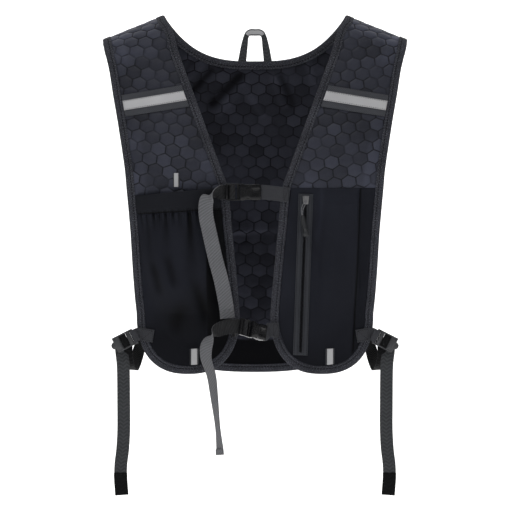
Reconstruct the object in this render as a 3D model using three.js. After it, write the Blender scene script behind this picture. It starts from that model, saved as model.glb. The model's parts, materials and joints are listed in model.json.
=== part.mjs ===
// A running hydration vest as worn: two padded front panels with pockets, a back panel,
// bound edges, reflective bands, two chest straps with buckles and two side straps.
// Millimetres, +Z up, the front faces -Y, and the origin lies midway between the shoulders.
import * as THREE from "three";

// Body form
const bodyLength = 418; // shoulder top to the lowest point of the front hem
const backLength = 417; // shoulder top to the lowest point of the back hem
const shoulderHalfWidth = 178; // middle to the outer edge of a shoulder
const neckHalfWidth = 106; // middle to a shoulder's peak
const shoulderFall = 29; // how far a shoulder falls from its peak to its outer edge
const shoulderRoll = 36; // height over which a shoulder turns from front to back
const shoulderDepth = 46; // how far forward and back the shoulder has turned by then
const chestDepth = 92; // middle plane to the front at the chest
const backDepth = 88; // middle plane to the back
const depthReach = 190; // drop at which the full depths are reached
const hemTaper = 0.07; // share of the depth lost again at the hem
const bodyHalfWidth = 232; // where the front and back curves would meet at the side
const bodyRoundness = 2.4; // exponent of those curves, 2 is an ellipse
const neckDepth = 53; // how far the back neckline dips below the peaks
const neckRoundness = 3; // exponent of the neckline's curve
const seamAngle = 25; // degrees behind the ridge where front and back panels meet
const hemRoundness = 2.4; // exponent of the front panels' hem
const backHemRoundness = 2.5; // exponent of the back hem
const hemTurn = 50; // degrees of the hem's curve that belong to a panel's sides

// Walls, trim and clearances
const wall = 2.2; // padded mesh of the panels
const cloth = 1.2; // pocket cloth
const bandThickness = 1.7; // doubled elastic at the open pocket's mouth
const gap = 0.3; // between neighbouring pieces
const bindingWidth = 9.5;
const bindingWall = 0.8;
const bindingSlack = 0.5; // between a panel's faces and the binding folded round it
const neckSlack = 1.3; // the same at the back neckline, where the panel twists
const webbing = 1.3; // thickness of straps and bands
const tape = 0.5; // thickness of the silver tapes

// Reflective bands across the front panels
const bandWidth = 25;
const bandTapeWidth = 11;
const bandDown = 96; // shoulder top to the band's middle at its own middle
const bandRise = 11.5; // how much higher its inner end is than its outer end

// Open pocket on the left, closed pocket on the right
const pocketTop = 201; // shoulder top to the pockets' upper edge
const pocketSlant = 9; // how much lower the open pocket's edge is at its outer end
const pocketHemBand = 25; // height of the plain elastic band above the gathers
const pocketMouth = 8; // how far the open pocket's mouth stands off the panel
const pocketBulge = 13;
const zipPocketRelief = 5; // how far the closed pocket's middle stands proud
const zipPocketFold = 117; // middle plane to the pleat of the closed pocket
const zipTapeWidth = 17;
const zipTop = 208; // shoulder top to the zipper tape's upper end
const zipLength = 188;
const zipOffset = 59; // middle plane to the zipper at its upper end
const zipLean = 6.5; // how much nearer the middle its lower end is
const zipCoilWidth = 5;
const zipCoilHeight = 1.6;

// Small reflective tags
const tagWidth = 10.5;
const tagTapeWidth = 7;
const tagHeight = 17;
const tagThickness = 0.8;
const upperTagOffset = 91.5;
const leftTagOffset = 70.5;
const rightTagOffset = 87;

// Hanging loop at the neck
const loopHalfWidth = 20.5;
const loopTopHalfWidth = 12;
const loopHeight = 37;
const loopWebbing = 10;
const loopCross = 8; // height of the loop's top part

// Chest straps and their side release buckles
const chestWebbing = 17;
const chestTabLength = 30;
const upperChestDown = 206; // shoulder top to the upper strap's middle
const lowerChestDown = 366;
const ladderLength = 16.4;
const ladderHeight = 19.5;
const ladderThickness = 3;
const socketLength = 24.6;
const socketThickness = 8;
const upperLadderStart = 34; // middle plane to the upper ladder's outer end
const lowerLadderStart = 18.5;
const buckleBar = 2.6; // width of a ladder's bars

// Side straps and their ladder locks
const sideWebbing = 15;
const lockLength = 26;
const lockHeight = 18.5;
const lockThickness = 3;
const lockThumb = 4.4; // radius of the lock's thumb tab
const lockTilt = 27; // degrees that the lock hangs down outwards
const sideTabLength = 17; // stitched length of its tab on the panel
const sideTabReach = 5; // free length between the panel's edge and the lock
const sideTailLength = 182; // lock to the lower end of the strap
const sideStrapSeat = 20; // stitched length of the strap on the back panel

// Front panel outline: down as a share of bodyLength, outer of shoulderHalfWidth,
// inner of neckHalfWidth. Below the last row the hem's curve takes over.
const frontRows = [
  { down: 0, outer: 1, inner: 1 },
  { down: 0.04, outer: 0.985, inner: 0.913 },
  { down: 0.1, outer: 0.967, inner: 0.842 },
  { down: 0.2, outer: 0.938, inner: 0.699 },
  { down: 0.3, outer: 0.898, inner: 0.556 },
  { down: 0.4275, outer: 0.852, inner: 0.372 },
  { down: 0.478, outer: 0.8415, inner: 0.302 },
  { down: 0.6, outer: 0.8155, inner: 0.251 },
  { down: 0.7, outer: 0.8013, inner: 0.212 },
  { down: 0.78, outer: 0.787, inner: 0.184 },
  { down: 0.8315, outer: 0.774, inner: 0.168 },
];

// Back panel outline: down as a share of backLength, outer of shoulderHalfWidth.
const backRows = [
  { down: 0, outer: 1 },
  { down: 0.04, outer: 0.982 },
  { down: 0.1, outer: 0.94 },
  { down: 0.2, outer: 0.85 },
  { down: 0.3, outer: 0.76 },
  { down: 0.43, outer: 0.69 },
  { down: 0.6, outer: 0.66 },
  { down: 0.8, outer: 0.67 },
  { down: 0.86, outer: 0.68 },
];

// Free end of the upper chest strap, from the ladder on: left, forward and down in
// strap widths; side and rise are the direction across the strap, ahead its share
// towards the front.
const upperTailRows = [
  { left: 0.25, forward: 0.12, down: 0.0, side: 0.0, ahead: 0.0, rise: 1.0 },
  { left: 0.55, forward: 0.3, down: -0.05, side: 0.25, ahead: 0.55, rise: 0.8 },
  { left: 0.92, forward: 0.62, down: 0.1, side: 0.6, ahead: 0.4, rise: 0.65 },
  { left: 1.3, forward: 0.74, down: 0.55, side: 0.92, ahead: 0.1, rise: 0.3 },
  { left: 1.36, forward: 0.7, down: 1.5, side: 1.0, ahead: 0.0, rise: 0.02 },
  { left: 1.13, forward: 0.68, down: 2.7, side: 1.0, ahead: 0.0, rise: 0.16 },
  { left: 0.72, forward: 0.64, down: 4.5, side: 1.0, ahead: 0.0, rise: 0.24 },
  { left: 0.28, forward: 0.62, down: 6.2, side: 1.0, ahead: 0.0, rise: 0.27 },
  { left: -0.06, forward: 0.6, down: 8.0, side: 1.0, ahead: 0.0, rise: 0.3 },
  { left: -0.12, forward: 0.6, down: 8.65, side: 1.0, ahead: 0.0, rise: 0.3 },
];

// Free end of the lower chest strap, in the same terms.
const lowerTailRows = [
  { left: 0.35, forward: 0.2, down: 0.02, side: 0.0, ahead: 0.0, rise: 1.0 },
  { left: 0.95, forward: 0.3, down: 0.1, side: 0.1, ahead: 0.05, rise: 1.0 },
  { left: 1.65, forward: 0.42, down: 0.45, side: 0.45, ahead: 0.25, rise: 0.8 },
  { left: 2.15, forward: 0.55, down: 1.25, side: 0.8, ahead: 0.5, rise: 0.25 },
  { left: 2.22, forward: 0.5, down: 2.1, side: 0.76, ahead: 0.65, rise: 0.0 },
  { left: 1.85, forward: 0.42, down: 3.4, side: 0.62, ahead: 0.78, rise: 0.0 },
  { left: 1.66, forward: 0.4, down: 4.8, side: 0.5, ahead: 0.87, rise: 0.0 },
  { left: 1.42, forward: 0.4, down: 6.9, side: 0.3, ahead: 0.95, rise: 0.0 },
  { left: 1.28, forward: 0.4, down: 8.3, side: 0.44, ahead: 0.9, rise: 0.0 },
  { left: 1.24, forward: 0.4, down: 8.8, side: 0.48, ahead: 0.88, rise: 0.0 },
];

// Side strap between the back panel and the lock: out in strap widths from the back
// panel's edge, ahead as a share of the way to the lock, down in strap widths below
// the strap's start, turn in degrees from upright towards flat.
const sideStrapRows = [
  { out: 0.7, ahead: 0.1, down: 0.1, turn: 0 },
  { out: 1.25, ahead: 0.28, down: 0.65, turn: 15 },
  { out: 1.6, ahead: 0.52, down: 1.55, turn: 35 },
  { out: 1.75, ahead: 0.75, down: 2.25, turn: 60 },
  { out: 1.85, ahead: 0.9, down: 2.45, turn: 80 },
];

// Free end of a side strap: out and back in strap widths from where it leaves the lock,
// down as a share of sideTailLength, turn in degrees across the front.
const sideTailRows = [
  { out: 0.02, back: 0.16, down: 0.008, turn: 52 },
  { out: 0.03, back: 0.24, down: 0.03, turn: 40 },
  { out: 0.02, back: 0.26, down: 0.06, turn: 28 },
  { out: -0.04, back: 0.22, down: 0.1, turn: 16 },
  { out: -0.1, back: 0.16, down: 0.15, turn: 6 },
  { out: -0.14, back: 0.1, down: 0.4, turn: 0 },
  { out: -0.14, back: 0.08, down: 0.58, turn: 0 },
  { out: -0.06, back: 0.08, down: 0.7, turn: 2 },
  { out: 0.08, back: 0.06, down: 0.8, turn: 4 },
  { out: 0.1, back: 0.04, down: 0.88, turn: 5 },
  { out: 0.0, back: 0.04, down: 1, turn: 5 },
];

const colours = {
  panel: { color: 0x2d2f3a, roughness: 0.62, metalness: 0 },
  back: { color: 0x24262c, roughness: 0.7, metalness: 0 },
  binding: { color: 0x3a3b40, roughness: 0.85, metalness: 0 },
  pocket: { color: 0x1b1d22, roughness: 0.75, metalness: 0 },
  webbing: { color: 0x4b4c50, roughness: 0.8, metalness: 0 },
  strap: { color: 0x3a3c3f, roughness: 0.8, metalness: 0 },
  silver: { color: 0xa5a5a7, roughness: 0.45, metalness: 0.1 },
  plastic: { color: 0x17181a, roughness: 0.3, metalness: 0 },
  zipper: { color: 0x3c3d42, roughness: 0.7, metalness: 0 },
};

const degrees = Math.PI / 180;
const hands = [
  { name: "left", sign: -1 },
  { name: "right", sign: 1 },
];
const forward = new THREE.Vector3(0, -1, 0);
const backward = new THREE.Vector3(0, 1, 0);
const seamDrop = shoulderRoll * (1 - Math.cos(seamAngle * degrees));
const seamDown = seamDrop / bodyLength;
const edgeInset = gap + bindingWall; // bound outline to the panel's own edge
const coveredInset = bindingWidth + 2 * gap; // bound outline to what lies between bindings
const bindingTop = wall / 2 + bindingSlack + bindingWall; // base surface to a binding's face

function smooth(share) {
  const t = Math.min(Math.max(share, 0), 1);
  return t * t * (3 - 2 * t);
}

function mix(a, b, share) {
  return a + (b - a) * share;
}

// A smooth curve through the rows of a table.
function between(rows, column, down) {
  const last = rows.length - 1;
  let i = 0;
  while (i < last - 1 && rows[i + 1].down < down) i += 1;
  const slope = (a, b) => (rows[b][column] - rows[a][column]) / (rows[b].down - rows[a].down);
  const length = rows[i + 1].down - rows[i].down;
  const start = slope(Math.max(i - 1, 0), i + 1) * length;
  const end = slope(i, Math.min(i + 2, last)) * length;
  const t = Math.min((down - rows[i].down) / length, 1);
  const t2 = t * t;
  const t3 = t2 * t;
  return (
    (2 * t3 - 3 * t2 + 1) * rows[i][column] +
    (t3 - 2 * t2 + t) * start +
    (3 * t2 - 2 * t3) * rows[i + 1][column] +
    (t3 - t2) * end
  );
}

// Fall of the shoulder line below its peak
function fall(x) {
  const share = (Math.abs(x) - neckHalfWidth) / (shoulderHalfWidth - neckHalfWidth);
  return shoulderFall * Math.max(share, 0);
}

function fallSlope(x) {
  const beyond = Math.abs(x) > neckHalfWidth ? Math.sign(x) : 0;
  return (beyond * shoulderFall) / (shoulderHalfWidth - neckHalfWidth);
}

// How far the body stands from its middle plane at a drop below the shoulder line
function depthAt(drop, side) {
  const roll = 1 - Math.min(drop / shoulderRoll, 1);
  const turned = shoulderDepth * Math.sqrt(1 - roll * roll);
  const full = side < 0 ? chestDepth : backDepth;
  const grown = (full - shoulderDepth) * smooth(drop / depthReach);
  const taper = 1 - hemTaper * smooth((drop - depthReach) / (bodyLength - depthReach));
  return (turned + grown) * taper;
}

// Share of that depth left at a distance from the middle
function wrapAt(x) {
  const share = Math.min(Math.abs(x) / bodyHalfWidth, 1);
  return (1 - share ** bodyRoundness) ** (1 / bodyRoundness);
}

function dropAt(x, z) {
  return Math.max(wall / 2 - fall(x) - z, 0);
}

// Base surface of the body: side -1 is the front and 1 the back
function bodyY(x, z, side) {
  return side * depthAt(dropAt(x, z), side) * wrapAt(x);
}

// A point at a height over the base surface, with the surface's directions there
function bodyFrame(x, z, side, height) {
  const step = 0.01;
  const drop = Math.max(dropAt(x, z), 2 * step);
  const steep = (depthAt(drop + step, side) - depthAt(drop - step, side)) / (2 * step);
  const closing = (wrapAt(x + step) - wrapAt(x - step)) / (2 * step);
  const wrap = wrapAt(x);
  const lean = steep * fallSlope(x) * wrap - depthAt(drop, side) * closing;
  const out = new THREE.Vector3(lean, side, steep * wrap).normalize();
  const across = new THREE.Vector3(1, 0, 0).addScaledVector(out, -out.x).normalize();
  const up = new THREE.Vector3().crossVectors(across, out).normalize();
  if (up.z < 0) up.negate();
  const point = new THREE.Vector3(x, bodyY(x, z, side), z).addScaledVector(out, height);
  return { point, across, up, out };
}

// Place on a front panel: across runs from the outer edge, 0, to the inner one, 1.
function frontPlace(across, down, inset) {
  const corner = frontRows.at(-1).down;
  const held = Math.min(down, corner);
  const step = 0.01;
  const edge = (column, size) => {
    const at = between(frontRows, column, held) * size;
    const before = between(frontRows, column, Math.max(held - step, 0)) * size;
    const slope = (at - before) / (step * bodyLength);
    return { at, inset: inset * Math.hypot(1, held > step ? slope : 0) };
  };
  const outerEdge = edge("outer", shoulderHalfWidth);
  const innerEdge = edge("inner", neckHalfWidth);
  const outer = outerEdge.at - outerEdge.inset;
  const inner = innerEdge.at + innerEdge.inset;
  if (down <= corner) {
    const x = mix(outer, inner, across);
    const kept = 1 - smooth(down / 0.2);
    return { x, z: wall / 2 - down * bodyLength - fall(x) * kept };
  }
  const share = (down - corner) / (1 - corner);
  const half = (outer - inner) / 2;
  const depth = (1 - corner) * bodyLength - inset;
  const power = 2 / hemRoundness;
  const reach = half * Math.cos(share * hemTurn * degrees) ** power;
  const sunk = depth * Math.sin(share * hemTurn * degrees) ** power;
  const offset = reach * (1 - 2 * across);
  const hem = depth * (1 - Math.abs(offset / half) ** hemRoundness) ** (1 / hemRoundness);
  return {
    x: (outer + inner) / 2 + offset,
    z: wall / 2 - corner * bodyLength - mix(sunk, hem, share),
  };
}

// Place on the back panel: across runs from -1 to 1 and neck is the peaks' share of it.
function backPlace(across, down, inset, neck) {
  const corner = backRows.at(-1).down;
  const outer = between(backRows, "outer", Math.min(down, corner)) * shoulderHalfWidth - inset;
  if (down <= corner) {
    const x = across * outer;
    const share = Math.min(Math.abs(across) / neck, 1) ** neckRoundness;
    const top = mix(neckDepth, seamDrop, share) + (Math.abs(across) > neck ? fall(x) : 0);
    const kept = 1 - smooth(down / 0.35);
    return { x, z: wall / 2 - down * backLength - top * kept };
  }
  const share = (down - corner) / (1 - corner);
  const depth = (1 - corner) * backLength - inset;
  const power = 2 / backHemRoundness;
  const reach = outer * Math.cos(share * hemTurn * degrees) ** power;
  const sunk = depth * Math.sin(share * hemTurn * degrees) ** power;
  const x = reach * across;
  const round = (1 - Math.abs(x / outer) ** backHemRoundness) ** (1 / backHemRoundness);
  return { x, z: wall / 2 - corner * backLength - mix(sunk, depth * round, share) };
}

// A closed body from points and triangles, with its faces pointing out
function solid(points, triangles) {
  let volume = 0;
  const cross = new THREE.Vector3();
  for (const [a, b, c] of triangles) {
    volume += points[a].dot(cross.crossVectors(points[b], points[c]));
  }
  const facing = volume > 0 ? triangles : triangles.map(([a, b, c]) => [a, c, b]);
  const geometry = new THREE.BufferGeometry();
  geometry.setAttribute(
    "position",
    new THREE.Float32BufferAttribute(points.flatMap((p) => [p.x, p.y, p.z]), 3),
  );
  geometry.setIndex(facing.flat());
  geometry.computeVertexNormals();
  return geometry;
}

function heightAt(height, i, j) {
  return typeof height === "function" ? height(i, j) : height;
}

// A wall between two heights over a grid of surface frames
function shell(grid, low, high) {
  const rows = grid.length;
  const columns = grid[0].length;
  const points = [];
  for (const height of [high, low]) {
    grid.forEach((row, i) =>
      row.forEach(({ point, out }, j) => {
        points.push(point.clone().addScaledVector(out, heightAt(height, i, j)));
      }),
    );
  }
  const at = (i, j) => i * columns + j;
  const under = rows * columns;
  const triangles = [];
  for (let i = 0; i < rows - 1; i += 1) {
    for (let j = 0; j < columns - 1; j += 1) {
      const [a, b, c, d] = [at(i, j), at(i, j + 1), at(i + 1, j + 1), at(i + 1, j)];
      triangles.push([a, b, c], [a, c, d]);
      triangles.push([under + a, under + c, under + b], [under + a, under + d, under + c]);
    }
  }
  const rim = gridRim(rows, columns).map(([i, j]) => at(i, j));
  rim.forEach((p, k) => {
    const q = rim[(k + 1) % rim.length];
    triangles.push([q, p, under + p], [q, under + p, under + q]);
  });
  return solid(points, triangles);
}

// The places round the rim of a grid, once
function gridRim(rows, columns) {
  const rim = [];
  for (let j = 0; j < columns - 1; j += 1) rim.push([0, j]);
  for (let i = 0; i < rows - 1; i += 1) rim.push([i, columns - 1]);
  for (let j = columns - 1; j > 0; j -= 1) rim.push([rows - 1, j]);
  for (let i = rows - 1; i > 0; i -= 1) rim.push([i, 0]);
  return rim;
}

// A body through rings of equal count, closed by the cap's triangles at both ends
function loft(rings, cap) {
  const count = rings[0].length;
  const triangles = [];
  for (let i = 0; i < rings.length - 1; i += 1) {
    for (let j = 0; j < count; j += 1) {
      const next = (j + 1) % count;
      const [a, b] = [i * count + j, i * count + next];
      triangles.push([a, b, b + count], [a, b + count, a + count]);
    }
  }
  const end = (rings.length - 1) * count;
  for (const [a, b, c] of cap) {
    triangles.push([c, b, a], [end + a, end + b, end + c]);
  }
  return solid(rings.flat(), triangles);
}

function fan(count) {
  return Array.from({ length: count - 2 }, (_, j) => [0, j + 1, j + 2]);
}

// Strap through stations, each with a point and the direction across the strap
function ribbon(stations, width, thickness) {
  const last = stations.length - 1;
  const rings = stations.map(({ point, across }, i) => {
    const ahead = stations[Math.min(i + 1, last)].point;
    const behind = stations[Math.max(i - 1, 0)].point;
    const run = new THREE.Vector3().subVectors(ahead, behind).normalize();
    const side = across.clone().addScaledVector(run, -across.dot(run)).normalize();
    const face = new THREE.Vector3().crossVectors(run, side);
    const corner = (a, b) =>
      point.clone().addScaledVector(side, (a * width) / 2).addScaledVector(face, (b * thickness) / 2);
    return [corner(-1, -1), corner(1, -1), corner(1, 1), corner(-1, 1)];
  });
  return loft(rings, fan(4));
}

// Stations eased into a smooth run
function eased(stations, count) {
  const path = new THREE.CatmullRomCurve3(stations.map((s) => s.point), false, "centripetal");
  const turns = new THREE.CatmullRomCurve3(stations.map((s) => s.across), false, "catmullrom");
  return Array.from({ length: count + 1 }, (_, i) => ({
    point: path.getPoint(i / count),
    across: turns.getPoint(i / count).normalize(),
  }));
}

// Round bar of changing radius along a path
function roundBar(points, radii, sides) {
  const last = points.length - 1;
  const rings = points.map((point, i) => {
    const run = new THREE.Vector3()
      .subVectors(points[Math.min(i + 1, last)], points[Math.max(i - 1, 0)])
      .normalize();
    const side = new THREE.Vector3().crossVectors(run, backward).normalize();
    const face = new THREE.Vector3().crossVectors(run, side);
    return Array.from({ length: sides }, (_, k) => {
      const angle = (2 * Math.PI * k) / sides;
      return point
        .clone()
        .addScaledVector(side, radii[i] * Math.cos(angle))
        .addScaledVector(face, radii[i] * Math.sin(angle));
    });
  });
  return loft(rings, fan(sides));
}

// Folded binding round an edge: each station gives the surface at a distance into the
// panel, and its bend is the distance at which the legs turn with the panel's faces.
function boundEdge(stations, slack) {
  const outside = -edgeInset;
  const inside = bindingWidth - edgeInset;
  const slotHalf = wall / 2 + slack;
  const outerHalf = slotHalf + bindingWall;
  const rings = stations.map(({ at, bend }) =>
    [
      [outside, -outerHalf],
      [bend, -outerHalf],
      [inside, -outerHalf],
      [inside, -slotHalf],
      [bend, -slotHalf],
      [-gap, -slotHalf],
      [-gap, slotHalf],
      [bend, slotHalf],
      [inside, slotHalf],
      [inside, outerHalf],
      [bend, outerHalf],
      [outside, outerHalf],
    ].map(([a, b]) => {
      const { point, out } = at(a);
      return point.addScaledVector(out, b);
    }),
  );
  const cap = [
    [0, 1, 4],
    [0, 4, 5],
    [1, 2, 3],
    [1, 3, 4],
    [0, 5, 6],
    [0, 6, 11],
    [11, 6, 7],
    [11, 7, 10],
    [10, 7, 8],
    [10, 8, 9],
  ];
  return loft(rings, cap);
}

// The grid place beside one on the rim of a panel that is open at its first row
function insideOf(lastRow, lastColumn) {
  return (i, j) => {
    const row = i === lastRow ? i - 1 : i;
    if (j === 0) return [row, 1];
    if (j === lastColumn) return [row, lastColumn - 1];
    return [row, j];
  };
}

// Stations along a run of grid places. A binding's leg runs along the grid's own faces,
// from the edge through the places next to it, and keeps its width square to the edge.
function edgeStations(grid, run, beside) {
  const last = run.length - 1;
  return run.map(([i, j], k) => {
    const edge = grid[i][j];
    const [ai, aj] = run[Math.min(k + 1, last)];
    const [bi, bj] = run[Math.max(k - 1, 0)];
    const along = new THREE.Vector3().subVectors(grid[ai][aj].point, grid[bi][bj].point).normalize();
    const square = new THREE.Vector3().crossVectors(edge.out, along).normalize();
    const [ni, nj] = beside(i, j);
    const next = grid[ni][nj];
    const later = grid[2 * ni - i]?.[2 * nj - j] ?? next;
    const first = new THREE.Vector3().subVectors(next.point, edge.point);
    const skew = first.length() / Math.abs(first.dot(square));
    const span = first.length();
    const onward = new THREE.Vector3().subVectors(later.point, next.point);
    const inside = bindingWidth - edgeInset;
    const bend = span / skew < inside * 0.9 ? span / skew : inside / 2;
    const at = (a) => {
      const reach = a * skew;
      if (reach <= span) {
        const share = reach / span;
        return {
          point: edge.point.clone().addScaledVector(first, share),
          out: edge.out.clone().lerp(next.out, Math.max(share, 0)).normalize(),
        };
      }
      const share = (reach - span) / onward.length();
      return {
        point: next.point.clone().addScaledVector(onward, share),
        out: next.out.clone().lerp(later.out, share).normalize(),
      };
    };
    return { at, bend };
  });
}

// A geometry's reflection in the middle plane, with its faces still pointing out
function reflected(geometry) {
  const other = geometry.index ? geometry.toNonIndexed() : geometry.clone();
  const place = other.getAttribute("position");
  for (let i = 0; i < place.count; i += 3) {
    const corners = [0, 2, 1].map((k) => [
      -place.getX(i + k),
      place.getY(i + k),
      place.getZ(i + k),
    ]);
    corners.forEach((corner, k) => place.setXYZ(i + k, ...corner));
  }
  other.computeVertexNormals();
  return other;
}

function named(name, geometry, finish) {
  const mesh = new THREE.Mesh(geometry, new THREE.MeshStandardMaterial(colours[finish]));
  mesh.name = name;
  return mesh;
}

const vest = new THREE.Group();
const frontHemRows = 4;

// Front panel rows: the seam behind the ridge, the roll of the shoulder, then the chest
// down to the hem
function frontGrid(sign, columns) {
  const rolled = [0, 28, 56, 80].map((angle) => {
    const drop = shoulderRoll * (1 - Math.cos(angle * degrees));
    return { down: drop / bodyLength, side: -1 };
  });
  const corner = frontRows.at(-1).down;
  const kink = frontRows[6].down; // the inner edge turns here
  const chest = [0.12, 0.18, 0.24, 0.3, 0.36, 0.42, 0.45, kink, 0.52, 0.6, 0.68, 0.76, corner];
  const rows = [{ down: seamDown, side: 1 }, ...rolled];
  for (const down of chest) rows.push({ down, side: -1 });
  for (let i = 1; i <= frontHemRows; i += 1) {
    rows.push({ down: mix(corner, 1, i / frontHemRows), side: -1 });
  }
  return rows.map(({ down, side }) =>
    Array.from({ length: columns + 1 }, (_, j) => {
      const { x, z } = frontPlace(j / columns, down, edgeInset);
      return bodyFrame(sign * x, z, side, 0);
    }),
  );
}

for (const { name, sign } of hands) {
  const columns = 8;
  const grid = frontGrid(sign, columns);
  vest.add(named(`front_panel_${name}`, shell(grid, -wall / 2, wall / 2), "panel"));
  const last = grid.length - 1;
  const run = [];
  for (let i = 0; i <= last; i += 1) run.push([i, columns]);
  for (let j = columns - 1; j >= 0; j -= 1) run.push([last, j]);
  for (let i = last - 1; i >= 0; i -= 1) run.push([i, 0]);
  const stations = edgeStations(grid, run, insideOf(last, columns));
  vest.add(named(`front_binding_${name}`, boundEdge(stations, bindingSlack), "binding"));
}

// Back panel and its bindings
const peak = between(frontRows, "inner", seamDown) * neckHalfWidth + edgeInset;
const backSeamAngle = seamAngle + 1; // leaves the seam's gap behind the front panels
const backSeamDrop = shoulderRoll * (1 - Math.cos(backSeamAngle * degrees));
const seamWidth = between(backRows, "outer", 0) * shoulderHalfWidth - edgeInset;
const neckShare = peak / seamWidth;
const neckColumns = [0, 0.3, 0.55, 0.75, 0.89, 0.97, 1].map((share) => share * neckShare);
const shoulderColumns = [1 / 3, 2 / 3, 1].map((share) => mix(neckShare, 1, share));
const halfColumns = [...neckColumns, ...shoulderColumns];
const acrossBack = [...halfColumns.slice(1).map((share) => -share).reverse(), ...halfColumns];
const backCorner = backRows.at(-1).down;
const backDowns = [0, 0.014, 0.036, 0.066, 0.1, 0.15, 0.2, 0.26, 0.33, 0.41, 0.5, 0.6, 0.7, 0.79, backCorner];
const backHemRows = 4;
for (let i = 1; i <= backHemRows; i += 1) {
  backDowns.push(mix(backCorner, 1, i / backHemRows));
}
const backGrid = backDowns.map((down) =>
  acrossBack.map((across) => {
    const { x, z } = backPlace(across, down, edgeInset, neckShare);
    return bodyFrame(x, z - (backSeamDrop - seamDrop) * (down === 0 ? 1 : 0), 1, 0);
  }),
);
vest.add(named("back_panel", shell(backGrid, -wall / 2, wall / 2), "back"));
const backLast = backGrid.length - 1;
const backWide = acrossBack.length - 1;
const neckStart = shoulderColumns.length + 1;
const neckRun = acrossBack
  .map((_, j) => [0, j])
  .filter(([, j]) => j >= neckStart && j <= backWide - neckStart);
const neckStations = edgeStations(backGrid, neckRun, (i, j) => [1, j]);
vest.add(named("neck_binding", boundEdge(neckStations, neckSlack), "binding"));
const hemRun = [];
for (let i = 0; i <= backLast; i += 1) hemRun.push([i, 0]);
for (let j = 1; j <= backWide; j += 1) hemRun.push([backLast, j]);
for (let i = backLast - 1; i >= 0; i -= 1) hemRun.push([i, backWide]);
const hemStations = edgeStations(backGrid, hemRun, insideOf(backLast, backWide));
vest.add(named("back_binding", boundEdge(hemStations, bindingSlack), "binding"));

// Reflective band across a shoulder strap
function bandGrid(sign, width, ends) {
  const columns = 6;
  return [-0.5, 0.5].map((over) =>
    Array.from({ length: columns + 1 }, (_, j) => {
      const share = j / columns;
      const down = bandDown - bandRise * (share - 0.5) + over * width;
      const { x, z } = frontPlace(share, down / bodyLength, coveredInset + ends);
      return bodyFrame(sign * x, z, -1, 0);
    }),
  );
}

for (const { name, sign } of hands) {
  const low = wall / 2 + gap;
  const high = low + webbing;
  const band = shell(bandGrid(sign, bandWidth, 0), low, high);
  vest.add(named(`reflective_band_${name}`, band, "webbing"));
  const silver = shell(bandGrid(sign, bandTapeWidth, gap), high + gap, high + gap + tape);
  vest.add(named(`reflective_tape_${name}`, silver, "silver"));
}

// Open pocket on the left panel: an elastic band above a gathered body that bulges.
// It lies between the bindings, and its height stands off the panel's face.
const panelFace = wall / 2 + gap;
const pocketColumns = 8;

function pocketRise(across, down) {
  const side = 1 - Math.abs(2 * across - 1) ** 3;
  const filled = smooth((down - pocketTop / bodyLength) / 0.25);
  const closed = 1 - smooth((down - 0.62 - 0.12 * side) / 0.15);
  return side * mix(pocketMouth, pocketBulge, filled) * closed;
}

function pocketPiece(name, rows, thickness, top, bottom) {
  const places = Array.from({ length: rows + 1 }, (_, i) =>
    Array.from({ length: pocketColumns + 1 }, (_, j) => {
      const across = j / pocketColumns;
      const down = mix(top(across), bottom(across), i / rows) / bodyLength;
      return { across, down, ...frontPlace(across, down, coveredInset) };
    }),
  );
  const grid = places.map((row) => row.map(({ x, z }) => bodyFrame(-x, z, -1, 0)));
  const low = (i, j) => panelFace + pocketRise(places[i][j].across, places[i][j].down);
  const high = (i, j) => low(i, j) + thickness;
  vest.add(named(name, shell(grid, low, high), "pocket"));
}

const mouthEdge = (across) => pocketTop + pocketSlant * (1 - across);
const gatherLine = (across) => mouthEdge(across) + pocketHemBand - 3 * (1 - across);
pocketPiece("pocket_elastic_band", 2, bandThickness, mouthEdge, gatherLine);
pocketPiece("pocket_body", 10, cloth, (across) => gatherLine(across) + gap, () => bodyLength);

// Closed pocket on the right panel, with a pleat near its outer side
function zipRise(x, down) {
  const foldWidth = 6;
  const inside = smooth((Math.abs(x) - zipOffset - zipTapeWidth * 0.7) / 12);
  const outside = 1 - smooth((Math.abs(x) - zipPocketFold) / foldWidth);
  const start = smooth((down - pocketTop / bodyLength) / 0.05);
  const closed = 1 - smooth((down - 0.7) / 0.15);
  return zipPocketRelief * inside * outside * start * closed;
}

{
  const rows = 10;
  const columns = 12;
  const places = Array.from({ length: rows + 1 }, (_, i) =>
    Array.from({ length: columns + 1 }, (_, j) => {
      const down = mix(pocketTop / bodyLength, 1, i / rows);
      return { down, ...frontPlace(j / columns, down, coveredInset) };
    }),
  );
  const grid = places.map((row) => row.map(({ x, z }) => bodyFrame(x, z, -1, 0)));
  const low = (i, j) => panelFace + zipRise(places[i][j].x, places[i][j].down);
  const high = (i, j) => low(i, j) + cloth;
  vest.add(named("zip_pocket_front", shell(grid, low, high), "pocket"));
}

// A strip that lies on a front panel: rows of x, z and the strip's width, at a height
function laidStrip(rows, thickness, height) {
  const stations = rows.map(({ x, z }) => {
    const { point, across } = bodyFrame(x, z, -1, height + thickness / 2);
    return { point, across };
  });
  return ribbon(stations, rows[0].width, thickness);
}

function zipPlace(share) {
  return { x: zipOffset - zipLean * share, z: wall / 2 - zipTop - zipLength * share };
}

const zipFace = panelFace + cloth + gap;
const zipTapeThickness = 1;
const zipRows = 9;
const zipShares = Array.from({ length: zipRows + 1 }, (_, i) => i / zipRows);
const zipTape = zipShares.map((share) => ({ ...zipPlace(share), width: zipTapeWidth }));
vest.add(named("zipper_tape", laidStrip(zipTape, zipTapeThickness, zipFace), "zipper"));
const coilFace = zipFace + zipTapeThickness + gap;
const coilStart = 0.07;
const zipCoil = zipShares.map((share) => ({
  ...zipPlace(mix(coilStart, 0.98, share)),
  width: zipCoilWidth,
}));
vest.add(named("zipper_coil", laidStrip(zipCoil, zipCoilHeight, coilFace), "zipper"));

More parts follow.
